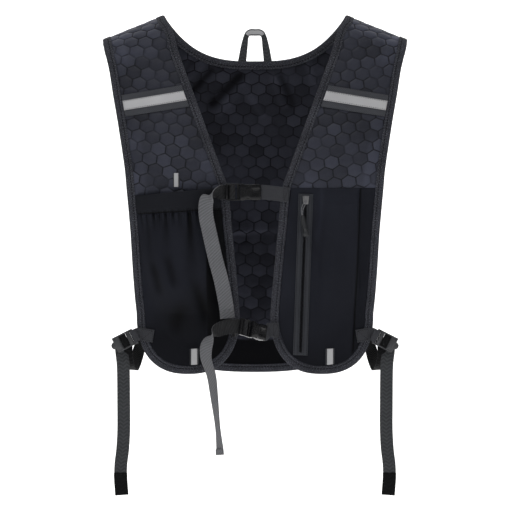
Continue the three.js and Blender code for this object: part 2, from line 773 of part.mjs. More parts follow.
// Slider above the coil's upper end, and its corded rubber pull
const sliderWidth = 8;
const sliderLength = 10;
const sliderThickness = 2.4;
const sliderFoot = coilFace + zipCoilHeight + gap;
{
  const place = zipPlace(coilStart * 0.55);
  const frame = bodyFrame(place.x, place.z, -1, sliderFoot + sliderThickness / 2);
  const half = sliderLength / 2;
  const shape = [
    { at: -half, width: 0.55 },
    { at: -half * 0.5, width: 0.95 },
    { at: half * 0.4, width: 1 },
    { at: half, width: 0.7 },
  ];
  const rings = shape.map(({ at, width }) => {
    const side = (sliderWidth * width) / 2;
    const middle = frame.point.clone().addScaledVector(frame.up, -at);
    return [
      [-side, -1],
      [side, -1],
      [side, 0.4],
      [side * 0.6, 1],
      [-side * 0.6, 1],
      [-side, 0.4],
    ].map(([a, b]) =>
      middle
        .clone()
        .addScaledVector(frame.across, a)
        .addScaledVector(frame.out, (b * sliderThickness) / 2),
    );
  });
  vest.add(named("zip_slider", loft(rings, fan(6)), "plastic"));
  const pullRows = [
    { side: -0.1, down: 0.1, rise: 1.2, radius: 0.22 },
    { side: -0.75, down: 0.5, rise: 1.35, radius: 0.24 },
    { side: -0.95, down: 1.25, rise: 1.0, radius: 0.24 },
    { side: -0.85, down: 1.85, rise: 0.75, radius: 0.26 },
    { side: -0.8, down: 2.0, rise: 0.7, radius: 0.85 },
    { side: -0.45, down: 3.1, rise: 0.6, radius: 0.95 },
    { side: -0.22, down: 3.75, rise: 0.85, radius: 0.98 },
    { side: -0.1, down: 4.05, rise: 1.2, radius: 1.35 },
    { side: -0.02, down: 4.4, rise: 1.25, radius: 1.42 },
    { side: 0.06, down: 4.7, rise: 1.2, radius: 0.9 },
  ];
  const unit = sliderLength / 2;
  const reach = sliderThickness;
  const points = pullRows.map(({ side, down, rise }) =>
    frame.point
      .clone()
      .addScaledVector(frame.across, side * unit)
      .addScaledVector(frame.up, -down * unit)
      .addScaledVector(frame.out, rise * reach + gap),
  );
  const radii = pullRows.map(({ radius }) => radius * 3);
  vest.add(named("zip_pull", roundBar(points, radii, 8), "plastic"));
}

// Tags with silver tape: one above the open pocket, one over each hem
function acrossAt(x, down) {
  const outer = frontPlace(0, down, coveredInset).x;
  const inner = frontPlace(1, down, coveredInset).x;
  return (outer - x) / (outer - inner);
}

const hemStart = frontRows.at(-1).down;
const overHem = { from: mix(hemStart, 1, 0.43), to: mix(hemStart, 1, 0.95) };
const overPocket = { from: (pocketTop - tagHeight) / bodyLength, to: (pocketTop - 1) / bodyLength };
const onPocket = (across, down) => pocketRise(across, down) + cloth + gap;
const tagRows = [
  { name: "upper", sign: -1, x: upperTagOffset, ends: overPocket, cover: () => 0 },
  { name: "left", sign: -1, x: leftTagOffset, ends: overHem, cover: onPocket },
  { name: "right", sign: 1, x: rightTagOffset, ends: overHem, cover: () => cloth + gap },
];

function tagPiece({ sign, x, ends, cover }, width, rise, thickness) {
  const rows = 4;
  const places = Array.from({ length: rows + 1 }, (_, i) =>
    [-0.5, 0, 0.5].map((side) => {
      const down = mix(ends.from, ends.to, i / rows);
      const across = acrossAt(x + side * width, down);
      return { across, down, ...frontPlace(across, down, coveredInset) };
    }),
  );
  const grid = places.map((row) => row.map((place) => bodyFrame(sign * place.x, place.z, -1, 0)));
  const low = (i, j) => panelFace + rise + cover(places[i][j].across, places[i][j].down);
  return shell(grid, low, (i, j) => low(i, j) + thickness);
}

for (const tag of tagRows) {
  vest.add(named(`tag_${tag.name}`, tagPiece(tag, tagWidth, 0, tagThickness), "webbing"));
  const silver = tagPiece(tag, tagTapeWidth, tagThickness + gap, tape);
  vest.add(named(`tag_tape_${tag.name}`, silver, "silver"));
}

// Hanging loop over the back neckline
function flatRing(outline, hole, thickness) {
  const shape = new THREE.Shape(outline.map(([x, z]) => new THREE.Vector2(x, z)));
  for (const edge of hole) shape.holes.push(new THREE.Path(edge.map(([x, z]) => new THREE.Vector2(x, z))));
  const geometry = new THREE.ExtrudeGeometry(shape, { depth: thickness, bevelEnabled: false });
  geometry.translate(0, 0, -thickness / 2);
  geometry.rotateX(Math.PI / 2);
  return geometry;
}

{
  const neckTop = wall / 2 - neckDepth + edgeInset + gap;
  const lift = neckDepth * (loopHalfWidth / neckHalfWidth) ** neckRoundness;
  const foot = neckTop + lift + gap;
  const top = foot + loopHeight;
  const inner = loopHalfWidth - loopWebbing;
  const innerTop = loopTopHalfWidth - 2;
  const under = top - loopCross;
  const outline = [
    [-loopHalfWidth, foot],
    [-inner, foot],
    [-innerTop, under],
    [innerTop, under],
    [inner, foot],
    [loopHalfWidth, foot],
    [loopTopHalfWidth, under],
    [loopTopHalfWidth - 2, top],
    [2 - loopTopHalfWidth, top],
    [-loopTopHalfWidth, under],
  ];
  const y = bodyY(0, wall / 2 - neckDepth, 1);
  const loop = named("hang_loop", flatRing(outline, [], webbing), "strap");
  loop.position.y = y;
  vest.add(loop);
  const stripHalf = loopTopHalfWidth - 2.5;
  const margin = 1.6;
  const strip = [
    [-stripHalf, under + margin],
    [stripHalf, under + margin],
    [stripHalf - 1, top - margin],
    [1 - stripHalf, top - margin],
  ];
  const silver = named("hang_loop_tape", flatRing(strip, [], tape), "silver");
  silver.position.y = y - webbing / 2 - gap - tape / 2;
  vest.add(silver);
}

// A flat plate with slots across it, along x, with its face towards -y
function slot(from, to, height) {
  const half = height / 2;
  return [
    [from, -half],
    [from, half],
    [to, half],
    [to, -half],
  ];
}

// Chest buckles. In a buckle's own frame x runs along the strap from the ladder's free
// end, z is across it, and its back face is y = 0.
const ladderSlot = 3.9;
const slotHeight = chestWebbing + 2 * gap;
const firstSlot = buckleBar;
const middleBar = firstSlot + ladderSlot;
const secondSlot = middleBar + buckleBar;

function ladderPiece() {
  const half = ladderHeight / 2;
  const cut = 1.5;
  const outline = [
    [0, -half + cut],
    [cut, -half],
    [ladderLength, -half],
    [ladderLength, half],
    [cut, half],
    [0, half - cut],
  ];
  const slots = [
    slot(firstSlot, middleBar, slotHeight),
    slot(secondSlot, secondSlot + ladderSlot, slotHeight + gap),
  ];
  const geometry = flatRing(outline, slots, ladderThickness);
  geometry.translate(0, -ladderThickness / 2, 0);
  return geometry;
}

function socketPiece() {
  const half = ladderHeight / 2;
  const start = ladderLength + gap;
  const end = start + socketLength - gap;
  const notch = start + socketLength * 0.4;
  const outline = [
    [start, -half],
    [notch - 6, -half],
    [notch - 1, -half + 3.2],
    [notch + 4, -half + 0.6],
    [end - 2, -half + 0.6],
    [end, -half + 2],
    [end, half - 2],
    [end - 2, half - 0.6],
    [notch + 4, half - 0.6],
    [notch - 1, half - 3.2],
    [notch - 6, half],
    [start, half],
  ];
  const geometry = flatRing(outline, [], socketThickness);
  geometry.translate(0, -ladderThickness / 2, 0);
  return geometry;
}

// Strap round the ladder's middle bar, in the buckle's frame: in behind the ladder, up
// through the second slot, back down through the first and out again in front of itself.
function ladderWrap(anchorLength) {
  const lower = gap * 2 + webbing * 1.5;
  const upper = gap + webbing / 2;
  const over = -(ladderThickness + gap * 2 + webbing / 2);
  const up = secondSlot + gap * 2 + webbing / 2;
  const down = middleBar - gap * 2 - webbing / 2;
  return [
    [-anchorLength, lower],
    [firstSlot, lower],
    [up - 1.4, lower],
    [up, lower - 1.4],
    [up, over + 1.2],
    [up - 1.2, over],
    [down + 1.2, over],
    [down, over + 1.2],
    [down, upper - 1],
    [down - 1, upper],
    [0, upper],
  ];
}

function buckleMatrix(origin, along, upright) {
  const x = along.clone().normalize();
  const z = upright.clone().addScaledVector(x, -upright.dot(x)).normalize();
  const y = new THREE.Vector3().crossVectors(z, x);
  const matrix = new THREE.Matrix4().makeBasis(x, y, z);
  matrix.setPosition(origin);
  return matrix;
}

function tailStations(rows, start, width) {
  return rows.map((row) => ({
    point: new THREE.Vector3(
      start.x - row.left * width,
      start.y - row.forward * width,
      start.z - row.down * width,
    ),
    across: new THREE.Vector3(row.side, -row.ahead, row.rise).normalize(),
  }));
}

const strapFace = bindingTop + gap; // base surface to a strap that crosses a binding
const coverFace = Math.max(bindingTop, panelFace + cloth) + gap; // and to one over cloth too
const chestStraps = [
  {
    name: "upper",
    down: upperChestDown,
    ladderStart: -upperLadderStart,
    lean: 0,
    sink: 0,
    lift: 0,
    anchor: 5,
    tail: upperTailRows,
    tabSlope: 3,
  },
  {
    name: "lower",
    down: lowerChestDown,
    ladderStart: -lowerLadderStart,
    lean: 45,
    sink: 12,
    lift: 6,
    anchor: 5,
    tail: lowerTailRows,
    tabSlope: 1,
  },
];

for (const strap of chestStraps) {
  const z = wall / 2 - strap.down;
  const edgeDown = strap.down / bodyLength;
  const innerEdge = frontPlace(1, edgeDown, 0).x;
  const face = bodyY(innerEdge, z, -1) - strapFace;
  const clear = webbing * 2 + gap * 3 + strap.lift;
  const lean = strap.lean * degrees;
  const sink = strap.sink * degrees;
  const along = new THREE.Vector3(
    Math.cos(lean) * Math.cos(sink),
    Math.sin(lean) * Math.cos(sink),
    -Math.sin(sink),
  );
  const upright = new THREE.Vector3(0, 0, 1);
  const reach = (ladderLength + socketLength) * along.y;
  const origin = new THREE.Vector3(strap.ladderStart, face - clear - reach, z + strap.sink * 0.35);
  const matrix = buckleMatrix(origin, along, upright);
  const place = (geometry) => geometry.applyMatrix4(matrix);
  vest.add(named(`buckle_ladder_${strap.name}`, place(ladderPiece()), "plastic"));
  vest.add(named(`buckle_socket_${strap.name}`, place(socketPiece()), "plastic"));
  const local = (x, y) => new THREE.Vector3(x, y, 0).applyMatrix4(matrix);
  const across = new THREE.Vector3().setFromMatrixColumn(matrix, 2);
  const wrap = ladderWrap(strap.lean ? 1 : strap.anchor).map(([x, y]) => ({ point: local(x, y), across }));
  const feet = [0.78, 0.4].map((share) => {
    const x = innerEdge + bindingWidth * share;
    const frame = bodyFrame(-x, z, -1, strapFace + 2 * gap + webbing / 2);
    return { point: frame.point, across: frame.up };
  });
  const tailStart = local(0, gap + webbing / 2);
  const tail = tailStations(strap.tail, tailStart, chestWebbing);
  const stations = [...feet, ...wrap, ...eased([wrap.at(-1), ...tail], 26).slice(1)];
  vest.add(named(`chest_strap_${strap.name}`, ribbon(stations, chestWebbing, webbing), "strap"));

  // Tab that holds the socket to the right panel
  const socketEnd = local(ladderLength + socketLength + gap, -ladderThickness / 2);
  const tabThickness = webbing * 1.6;
  const tabEnd = innerEdge + bindingWidth - 1;
  const shares = [0, 0.25, 0.5, 0.75, 1];
  const tabZ = (x) => z - (strap.tabSlope * (x - socketEnd.x)) / chestTabLength;
  const laid = shares.map((share) => {
    const x = mix(innerEdge - 3, tabEnd, share);
    const height = strapFace + 2 * gap + tabThickness / 2;
    const frame = bodyFrame(x, tabZ(x), -1, height);
    return { point: frame.point, across: frame.up };
  });
  const outOf = socketEnd.clone().addScaledVector(along, tabThickness * 1.3);
  const tab = [{ point: socketEnd, across }, { point: outOf, across }, ...laid];
  vest.add(named(`chest_tab_${strap.name}`, ribbon(tab, chestWebbing, tabThickness), "webbing"));
}

// Side straps: a tab on each front corner holds a ladder lock, and the strap runs from
// the back panel through the lock and hangs free
const lockBar = 2.6;
const lockSlot = 4.2;
const lockSlotHeight = sideWebbing + 2 * gap;

function lockPiece() {
  const half = lockHeight / 2;
  const cut = 2;
  const outline = [
    [0, -half + cut],
    [cut, -half],
    [lockLength - cut, -half],
    [lockLength, -half + cut],
    [lockLength, -lockThumb],
  ];
  const thumbSteps = 4;
  for (let i = 1; i < thumbSteps; i += 1) {
    const angle = (i / thumbSteps - 0.5) * Math.PI;
    outline.push([lockLength + lockThumb * Math.cos(angle), lockThumb * Math.sin(angle)]);
  }
  outline.push([lockLength, lockThumb], [lockLength, half - cut], [lockLength - cut, half], [cut, half]);
  outline.push([0, half - cut]);
  const starts = [0, 1, 2].map((i) => lockBar + i * (lockSlot + lockBar));
  const slots = starts.map((from, i) => slot(from, from + lockSlot, lockSlotHeight + i * gap));
  const geometry = flatRing(outline, slots, lockThickness);
  geometry.translate(0, -lockThickness / 2, 0);
  return geometry;
}

// Both sides from the right-hand piece and its reflection
function bothSides(name, geometry, finish) {
  vest.add(named(`${name}_right`, geometry, finish));
  vest.add(named(`${name}_left`, reflected(geometry), finish));
}

{
  const tabDown = 0.9;
  const edge = frontPlace(0, tabDown, 0);
  const tilt = lockTilt * degrees;
  const along = new THREE.Vector3(Math.cos(tilt), 0, -Math.sin(tilt));
  const upright = new THREE.Vector3(Math.sin(tilt), 0, Math.cos(tilt));
  const tabZ = edge.z + 10;
  const edgePoint = bodyFrame(edge.x, tabZ, -1, coverFace + webbing / 2).point;
  const origin = edgePoint.clone().addScaledVector(along, sideTabReach);
  origin.y -= webbing + gap;
  const matrix = new THREE.Matrix4().makeBasis(along, backward, upright);
  matrix.setPosition(origin);
  bothSides("ladder_lock", lockPiece().applyMatrix4(matrix), "plastic");
  const local = (x, y) => new THREE.Vector3(x, y, 0).applyMatrix4(matrix);

  // Tab: from the panel behind the first bar, forward through the slot and back over it
  const behind = gap + webbing / 2;
  const before = -(lockThickness + gap + webbing / 2);
  const through = lockBar + gap + webbing / 2;
  const seat = (share) => {
    const x = edge.x - sideTabLength * share;
    const frame = bodyFrame(x, tabZ + share * 3, -1, coverFace + webbing / 2);
    return { point: frame.point, across: frame.up };
  };
  const loopPoints = [
    [-1, behind],
    [through - 0.6, behind],
    [through, behind - 0.6],
    [through, before + 0.6],
    [through - 0.6, before],
    [-gap - webbing, before],
    [-gap - webbing * 2, before + 1],
  ];
  const loop = loopPoints.map(([x, y]) => ({ point: local(x, y), across: upright }));
  const tab = [seat(1), seat(0.66), seat(0.33), seat(0), ...loop];
  bothSides("side_tab", ribbon(tab, sideWebbing, webbing), "webbing");

  // Strap: from the back panel forward to the lock, round its third bar and down
  const outer = between(backRows, "outer", backRows.at(-1).down) * shoulderHalfWidth;
  const startZ = tabZ + 6;
  const backSeat = (x) => {
    const frame = bodyFrame(x, startZ, 1, strapFace + webbing / 2);
    return { point: frame.point, across: frame.up };
  };
  const leaving = backSeat(outer + 2);
  const entry = local(lockBar * 2 + lockSlot + gap * 2 + webbing, behind);
  const route = sideStrapRows.map(({ out, ahead, down, turn }) => ({
    point: new THREE.Vector3(
      leaving.point.x + out * sideWebbing,
      mix(leaving.point.y, entry.y, ahead),
      leaving.point.z - down * sideWebbing,
    ),
    across: new THREE.Vector3(Math.sin(turn * degrees), 0, Math.cos(turn * degrees)),
  }));
  const up = lockBar * 2 + lockSlot + gap + webbing / 2;
  const wrapPoints = [
    [up, behind + 5],
    [up, before + 1],
    [up + 1, before],
    [up + lockSlot + lockBar - 1, before],
    [up + lockSlot + lockBar, before + 1],
    [up + lockSlot + lockBar, behind],
  ];
  const wrap = wrapPoints.map(([x, y]) => ({ point: local(x, y), across: upright }));
  const tailTop = wrap.at(-1).point;
  const tail = sideTailRows.map(({ out, back, down, turn }) => ({
    point: new THREE.Vector3(
      tailTop.x + out * sideWebbing,
      tailTop.y + back * sideWebbing,
      tailTop.z - down * sideTailLength,
    ),
    across: new THREE.Vector3(Math.cos(turn * degrees), 0, Math.sin(turn * degrees)),
  }));
  const seats = [1, 0.6, 0.2].map((share) => backSeat(outer - sideStrapSeat * share));
  const rear = [...seats, leaving];
  const front = eased([leaving, ...route, wrap[0]], 18).slice(1);
  const free = eased([wrap.at(-1), ...tail], 20).slice(1);
  const stations = [...rear, ...front, ...wrap.slice(1), ...free];
  bothSides("side_strap", ribbon(stations, sideWebbing, webbing), "strap");
}

export default vest;
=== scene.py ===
"""A running hydration vest as worn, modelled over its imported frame.

Metres, +Z up, the front faces -Y, and the origin lies midway between the shoulders.
"""

import json
import math

import bmesh
import bpy
import numpy as np
from mathutils import Matrix, Vector

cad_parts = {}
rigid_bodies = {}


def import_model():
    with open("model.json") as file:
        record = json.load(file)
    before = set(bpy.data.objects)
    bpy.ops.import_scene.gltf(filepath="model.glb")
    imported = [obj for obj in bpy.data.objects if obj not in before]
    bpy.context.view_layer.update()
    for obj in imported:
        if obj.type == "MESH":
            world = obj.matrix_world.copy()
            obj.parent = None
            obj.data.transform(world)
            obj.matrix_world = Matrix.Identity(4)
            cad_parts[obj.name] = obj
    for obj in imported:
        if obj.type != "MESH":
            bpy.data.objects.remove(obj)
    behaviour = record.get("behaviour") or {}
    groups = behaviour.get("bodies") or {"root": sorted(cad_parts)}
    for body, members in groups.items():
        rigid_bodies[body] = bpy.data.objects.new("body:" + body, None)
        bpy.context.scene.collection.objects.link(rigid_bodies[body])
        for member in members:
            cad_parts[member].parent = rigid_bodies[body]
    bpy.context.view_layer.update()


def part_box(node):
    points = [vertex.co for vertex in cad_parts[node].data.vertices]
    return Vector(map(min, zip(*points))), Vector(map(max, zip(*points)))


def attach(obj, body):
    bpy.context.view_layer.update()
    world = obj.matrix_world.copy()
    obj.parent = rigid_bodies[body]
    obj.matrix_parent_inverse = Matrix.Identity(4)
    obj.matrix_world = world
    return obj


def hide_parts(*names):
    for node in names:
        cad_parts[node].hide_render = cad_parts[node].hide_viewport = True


bl_info = {
    "name": "Running hydration vest",
    "version": (1, 0, 0),
    "blender": (4, 5, 0),
    "location": "View3D > Sidebar > Vest",
    "description": "Models a running hydration vest piece by piece over its frame",
    "category": "Object",
}

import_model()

# Body form, as in the solids
BODY_LENGTH = 0.418
BACK_LENGTH = 0.417
SHOULDER_HALF = 0.178
NECK_HALF = 0.106
SHOULDER_FALL = 0.029
SHOULDER_ROLL = 0.036
SHOULDER_DEPTH = 0.046
CHEST_DEPTH = 0.092
BACK_DEPTH = 0.088
DEPTH_REACH = 0.19
HEM_TAPER = 0.07
BODY_HALF = 0.232
BODY_ROUNDNESS = 2.4
NECK_DEPTH = 0.053
NECK_ROUNDNESS = 3
SEAM_ANGLE = math.radians(25)
HEM_ROUNDNESS = 2.4
BACK_HEM_ROUNDNESS = 2.5
HEM_TURN = math.radians(50)

# Walls, trim and clearances
WALL = 0.0022
CLOTH = 0.0012
BAND_THICKNESS = 0.0017
GAP = 0.0003
BINDING_WIDTH = 0.0095
BINDING_WALL = 0.0008
# Where a binding is stitched, as a share of its width
STITCH_SHARE = 0.66
BINDING_SLACK = 0.0005
NECK_SLACK = 0.0013
WEBBING = 0.0013
TAPE = 0.0005
BAND_WIDTH = 0.025
BAND_TAPE_WIDTH = 0.011
BAND_DOWN = 0.1
BAND_RISE = 0.0115
POCKET_TOP = 0.201
POCKET_SLANT = 0.009
POCKET_BAND = 0.025
POCKET_MOUTH = 0.008
POCKET_BULGE = 0.013
ZIP_RELIEF = 0.005
ZIP_FOLD = 0.117
ZIP_TAPE_WIDTH = 0.017
ZIP_TOP = 0.208
ZIP_LENGTH = 0.188
ZIP_OFFSET = 0.059
ZIP_LEAN = 0.0065
TAG_WIDTH = 0.0105
TAG_TAPE_WIDTH = 0.007
TAG_HEIGHT = 0.017
CHEST_WEBBING = 0.017
CHEST_TAB = 0.03
LADDER_LENGTH = 0.0164
LADDER_HEIGHT = 0.0195
LADDER_THICKNESS = 0.003
LADDER_BAR = 0.0026
LADDER_SLOT = 0.0039
SOCKET_LENGTH = 0.0246
SOCKET_THICKNESS = 0.008
SIDE_WEBBING = 0.015
LOCK_LENGTH = 0.026
LOCK_HEIGHT = 0.0185
LOCK_THICKNESS = 0.003
LOCK_THUMB = 0.0044
LOCK_TILT = math.radians(27)
LOCK_BAR = 0.0026
LOCK_SLOT = 0.0042
SIDE_TAB = 0.017
SIDE_REACH = 0.005
SIDE_TAIL = 0.182

# Outlines: down as a share of the length, then shares of the shoulder's and neck's halves
FRONT_ROWS = {
    "down": [0, 0.04, 0.1, 0.2, 0.3, 0.4275, 0.478, 0.6, 0.7, 0.78, 0.8315],
    "outer": [1, 0.985, 0.967, 0.938, 0.898, 0.852, 0.8415, 0.8155, 0.8013, 0.787, 0.774],
    "inner": [1, 0.913, 0.842, 0.699, 0.556, 0.372, 0.302, 0.251, 0.212, 0.184, 0.168],
}
BACK_ROWS = {
    "down": [0, 0.04, 0.1, 0.2, 0.3, 0.43, 0.6, 0.8, 0.86],
    "outer": [1, 0.982, 0.94, 0.85, 0.76, 0.69, 0.66, 0.67, 0.68],
}

# Free ends of the chest straps, in strap widths: left, forward and down, then the
# direction across the strap as side, ahead and rise
UPPER_TAIL = [
    (0.25, 0.12, 0.0, 0.0, 0.0, 1.0),
    (0.55, 0.3, -0.05, 0.25, 0.55, 0.8),
    (0.92, 0.62, 0.1, 0.6, 0.4, 0.65),
    (1.3, 0.74, 0.55, 0.92, 0.1, 0.3),
    (1.36, 0.7, 1.5, 1.0, 0.0, 0.02),
    (1.13, 0.68, 2.7, 1.0, 0.0, 0.16),
    (0.72, 0.64, 4.5, 1.0, 0.0, 0.24),
    (0.28, 0.62, 6.2, 1.0, 0.0, 0.27),
    (-0.06, 0.6, 8.0, 1.0, 0.0, 0.3),
    (-0.12, 0.6, 8.65, 1.0, 0.0, 0.3),
]
LOWER_TAIL = [
    (0.35, 0.2, 0.02, 0.0, 0.0, 1.0),
    (0.95, 0.3, 0.1, 0.1, 0.05, 1.0),
    (1.65, 0.42, 0.45, 0.45, 0.25, 0.8),
    (2.15, 0.55, 1.25, 0.8, 0.5, 0.25),
    (2.22, 0.5, 2.1, 0.76, 0.65, 0.0),
    (1.85, 0.42, 3.4, 0.62, 0.78, 0.0),
    (1.66, 0.4, 4.8, 0.5, 0.87, 0.0),
    (1.42, 0.4, 6.9, 0.3, 0.95, 0.0),
    (1.28, 0.4, 8.3, 0.44, 0.9, 0.0),
    (1.24, 0.4, 8.8, 0.48, 0.88, 0.0),
]

# Side straps: out in strap widths, ahead as a share of the way to the lock, down in
# strap widths and turn in degrees
SIDE_STRAP = [
    (0.4, 0.12, 0.5, 10),
    (0.8, 0.4, 1.9, 45),
    (1.15, 0.62, 3.0, 70),
    (1.4, 0.8, 3.45, 85),
    (1.65, 0.93, 2.9, 70),
    (1.77, 0.985, 1.8, 42),
]
# Their free ends: out and back in strap widths, down as a share of SIDE_TAIL, turn
SIDE_TAIL_ROWS = [
    (0.02, 0.16, 0.008, 52),
    (0.03, 0.24, 0.03, 40),
    (0.02, 0.26, 0.06, 28),
    (-0.04, 0.22, 0.1, 16),
    (-0.1, 0.16, 0.15, 6),
    (-0.14, 0.1, 0.4, 0),
    (-0.14, 0.08, 0.58, 0),
    (-0.06, 0.08, 0.7, 2),
    (0.08, 0.06, 0.8, 4),
    (0.1, 0.04, 0.88, 5),
    (0.0, 0.04, 1, 5),
]

# Gathers of the open pocket: place across as a share of its width, width in
# centimetres, depth, and how far down they run and lean as shares of its size
POCKET_GATHERS = [
    (0.05, 0.35, 0.9, 0.1, 0.02),
    (0.12, 0.3, 0.8, 0.22, 0.03),
    (0.2, 0.4, 1.0, 0.1, -0.02),
    (0.27, 0.35, 1.0, 0.07, 0.03),
    (0.345, 0.5, 1.1, 0.2, -0.06),
    (0.43, 0.35, 0.8, 0.06, 0.02),
    (0.51, 0.4, 0.8, 0.09, 0.03),
    (0.625, 0.6, 1.7, 0.3, -0.07),
    (0.72, 0.4, 0.8, 0.08, 0.02),
]
GATHER_COUNT = 24
GATHER_DEPTH = 0.0026
# Soft folds low on the same pocket: across, down, half length, half width, turn and depth
POCKET_FOLDS = [
    (0.52, 0.78, 0.3, 0.07, 32, 2.2),
    (0.3, 0.7, 0.26, 0.08, -48, 1.6),
    (0.56, 0.92, 0.2, 0.035, 12, 1.6),
    (0.28, 0.9, 0.2, 0.035, -28, 1.3),
    (0.36, 0.36, 0.16, 0.05, 78, 1.0),
    (0.18, 0.4, 0.16, 0.05, 80, 1.2),
    (0.7, 0.62, 0.3, 0.06, 74, 1.4),
]
# Wrinkles of the back panel seen inside: x and z of both ends, half width, depth
BACK_FOLDS = [
    (-0.018, -0.068, -0.05, -0.1, 0.0045, -2.6),
    (-0.012, -0.078, -0.04, -0.108, 0.004, 1.8),
    (-0.062, -0.053, -0.082, -0.07, 0.004, 2.6),
    (-0.078, -0.046, -0.086, -0.056, 0.003, 2.2),
    (-0.052, -0.062, -0.074, -0.086, 0.004, -2.0),
    (-0.012, -0.08, 0.008, -0.11, 0.004, 1.8),
    (0.022, -0.07, 0.034, -0.1, 0.004, 2.0),
    (0.03, -0.068, 0.044, -0.1, 0.004, -1.4),
    (0.062, -0.05, 0.07, -0.075, 0.004, 1.6),
    (-0.03, -0.2505, -0.008, -0.2495, 0.0026, 4.2),
    (-0.034, -0.2495, 0.034, -0.2495, 0.0034, 1.8),
]


# Shapes


def smooth(share):
    """Eased step from 0 to 1."""
    t = np.clip(share, 0, 1)
    return t * t * (3 - 2 * t)


def mix(a, b, share):
    return a + (b - a) * share


def hermite(t, a, start, b, end):
    """A curve from one value to another that has a slope at each."""
    t2, t3 = t * t, t * t * t
    return (2 * t3 - 3 * t2 + 1) * a + (t3 - 2 * t2 + t) * start + (3 * t2 - 2 * t3) * b + (t3 - t2) * end


def spread(*values):
    return np.broadcast_arrays(*(np.asarray(v, float) for v in values))


def between(rows, column, down):
    """A smooth curve through the rows of a table."""
    d = np.array(rows["down"], float)
    v = np.array(rows[column], float)
    down = np.asarray(down, float)
    last = len(d) - 1
    i = np.searchsorted(d[1:-1], down, side="left")
    before, after = np.maximum(i - 1, 0), np.minimum(i + 2, last)
    length = d[i + 1] - d[i]
    start = (v[i + 1] - v[before]) / (d[i + 1] - d[before]) * length
    end = (v[after] - v[i]) / (d[after] - d[i]) * length
    t = np.minimum((down - d[i]) / length, 1)
    return hermite(t, v[i], start, v[i + 1], end)


def fall(x):
    return SHOULDER_FALL * np.maximum((np.abs(x) - NECK_HALF) / (SHOULDER_HALF - NECK_HALF), 0)


def depth_at(drop, side):
    """How far the body stands from its middle plane at a drop below the shoulder line."""
    roll = 1 - np.minimum(drop / SHOULDER_ROLL, 1)
    turned = SHOULDER_DEPTH * np.sqrt(1 - roll * roll)
    full = np.where(side < 0, CHEST_DEPTH, BACK_DEPTH)
    grown = (full - SHOULDER_DEPTH) * smooth(drop / DEPTH_REACH)
    taper = 1 - HEM_TAPER * smooth((drop - DEPTH_REACH) / (BODY_LENGTH - DEPTH_REACH))
    return (turned + grown) * taper


def wrap_at(x):
    share = np.minimum(np.abs(x) / BODY_HALF, 1)
    return (1 - share**BODY_ROUNDNESS) ** (1 / BODY_ROUNDNESS)


def drop_at(x, z):
    return np.maximum(WALL / 2 - fall(x) - z, 0)


def unit(v):
    return v / np.maximum(np.linalg.norm(v, axis=-1, keepdims=True), 1e-12)


def body_frame(x, z, side, height=0.0):
    """Points at a height over the body's surface, with its across, up and out directions."""
    x, z, side, height = spread(x, z, side, height)
    step = 1e-5
    drop = np.maximum(drop_at(x, z), 2 * step)
    steep = (depth_at(drop + step, side) - depth_at(drop - step, side)) / (2 * step)
    closing = (wrap_at(x + step) - wrap_at(x - step)) / (2 * step)
    wrap = wrap_at(x)
    slope = np.where(np.abs(x) > NECK_HALF, np.sign(x), 0) * SHOULDER_FALL / (SHOULDER_HALF - NECK_HALF)
    out = unit(np.stack([steep * slope * wrap - depth_at(drop, side) * closing, side, steep * wrap], -1))
    across = unit(np.array([1.0, 0, 0]) - out[..., :1] * out)
    up = unit(np.cross(across, out))
    up = np.where(up[..., 2:] < 0, -up, up)
    y = side * depth_at(drop_at(x, z), side) * wrap
    point = np.stack([x, y, z], -1) + height[..., None] * out
    return point, across, up, out


def hem_place(across, down, inset, half, corner, length, roundness):
    """Place on a rounded hem below its corners: across runs from -1 to 1."""
    share = np.maximum((down - corner) / (1 - corner), 0)
    depth = (1 - corner) * length - inset
    power = 2 / roundness
    x = half * np.cos(share * HEM_TURN) ** power * across
    sunk = depth * np.sin(share * HEM_TURN) ** power
    hem = depth * np.maximum(1 - np.abs(x / half) ** roundness, 0) ** (1 / roundness)
    return x, WALL / 2 - corner * length - mix(sunk, hem, share)


def front_place(across, down, inset):
    """Place on a front panel: across runs from the outer edge, 0, to the inner one, 1."""
    across, down, inset = spread(across, down, inset)
    corner = FRONT_ROWS["down"][-1]
    held = np.minimum(down, corner)
    step = 0.01

    def edge(column, size):
        at = between(FRONT_ROWS, column, held) * size
        before = between(FRONT_ROWS, column, np.maximum(held - step, 0)) * size
        slope = np.where(held > step, (at - before) / (step * BODY_LENGTH), 0)
        return at, inset * np.hypot(1, slope)

    outer_at, outer_inset = edge("outer", SHOULDER_HALF)
    inner_at, inner_inset = edge("inner", NECK_HALF)
    outer, inner = outer_at - outer_inset, inner_at + inner_inset
    x = mix(outer, inner, across)
    z = WALL / 2 - down * BODY_LENGTH - fall(x) * (1 - smooth(down / 0.2))
    half = (outer - inner) / 2
    offset, low_z = hem_place(1 - 2 * across, down, inset, half, corner, BODY_LENGTH, HEM_ROUNDNESS)
    below = down > corner
    return np.where(below, (outer + inner) / 2 + offset, x), np.where(below, low_z, z)


SEAM_DROP = SHOULDER_ROLL * (1 - math.cos(SEAM_ANGLE))
SEAM_DOWN = SEAM_DROP / BODY_LENGTH
EDGE_INSET = GAP + BINDING_WALL
COVERED_INSET = BINDING_WIDTH + 2 * GAP
BINDING_TOP = WALL / 2 + BINDING_SLACK + BINDING_WALL
PANEL_FACE = WALL / 2 + GAP
STRAP_FACE = BINDING_TOP + GAP
COVER_FACE = max(BINDING_TOP, PANEL_FACE + CLOTH) + GAP
BACK_SEAM_DROP = SHOULDER_ROLL * (1 - math.cos(SEAM_ANGLE + math.radians(1)))
PEAK = float(between(FRONT_ROWS, "inner", SEAM_DOWN)) * NECK_HALF + EDGE_INSET
NECK_SHARE = PEAK / (SHOULDER_HALF - EDGE_INSET)


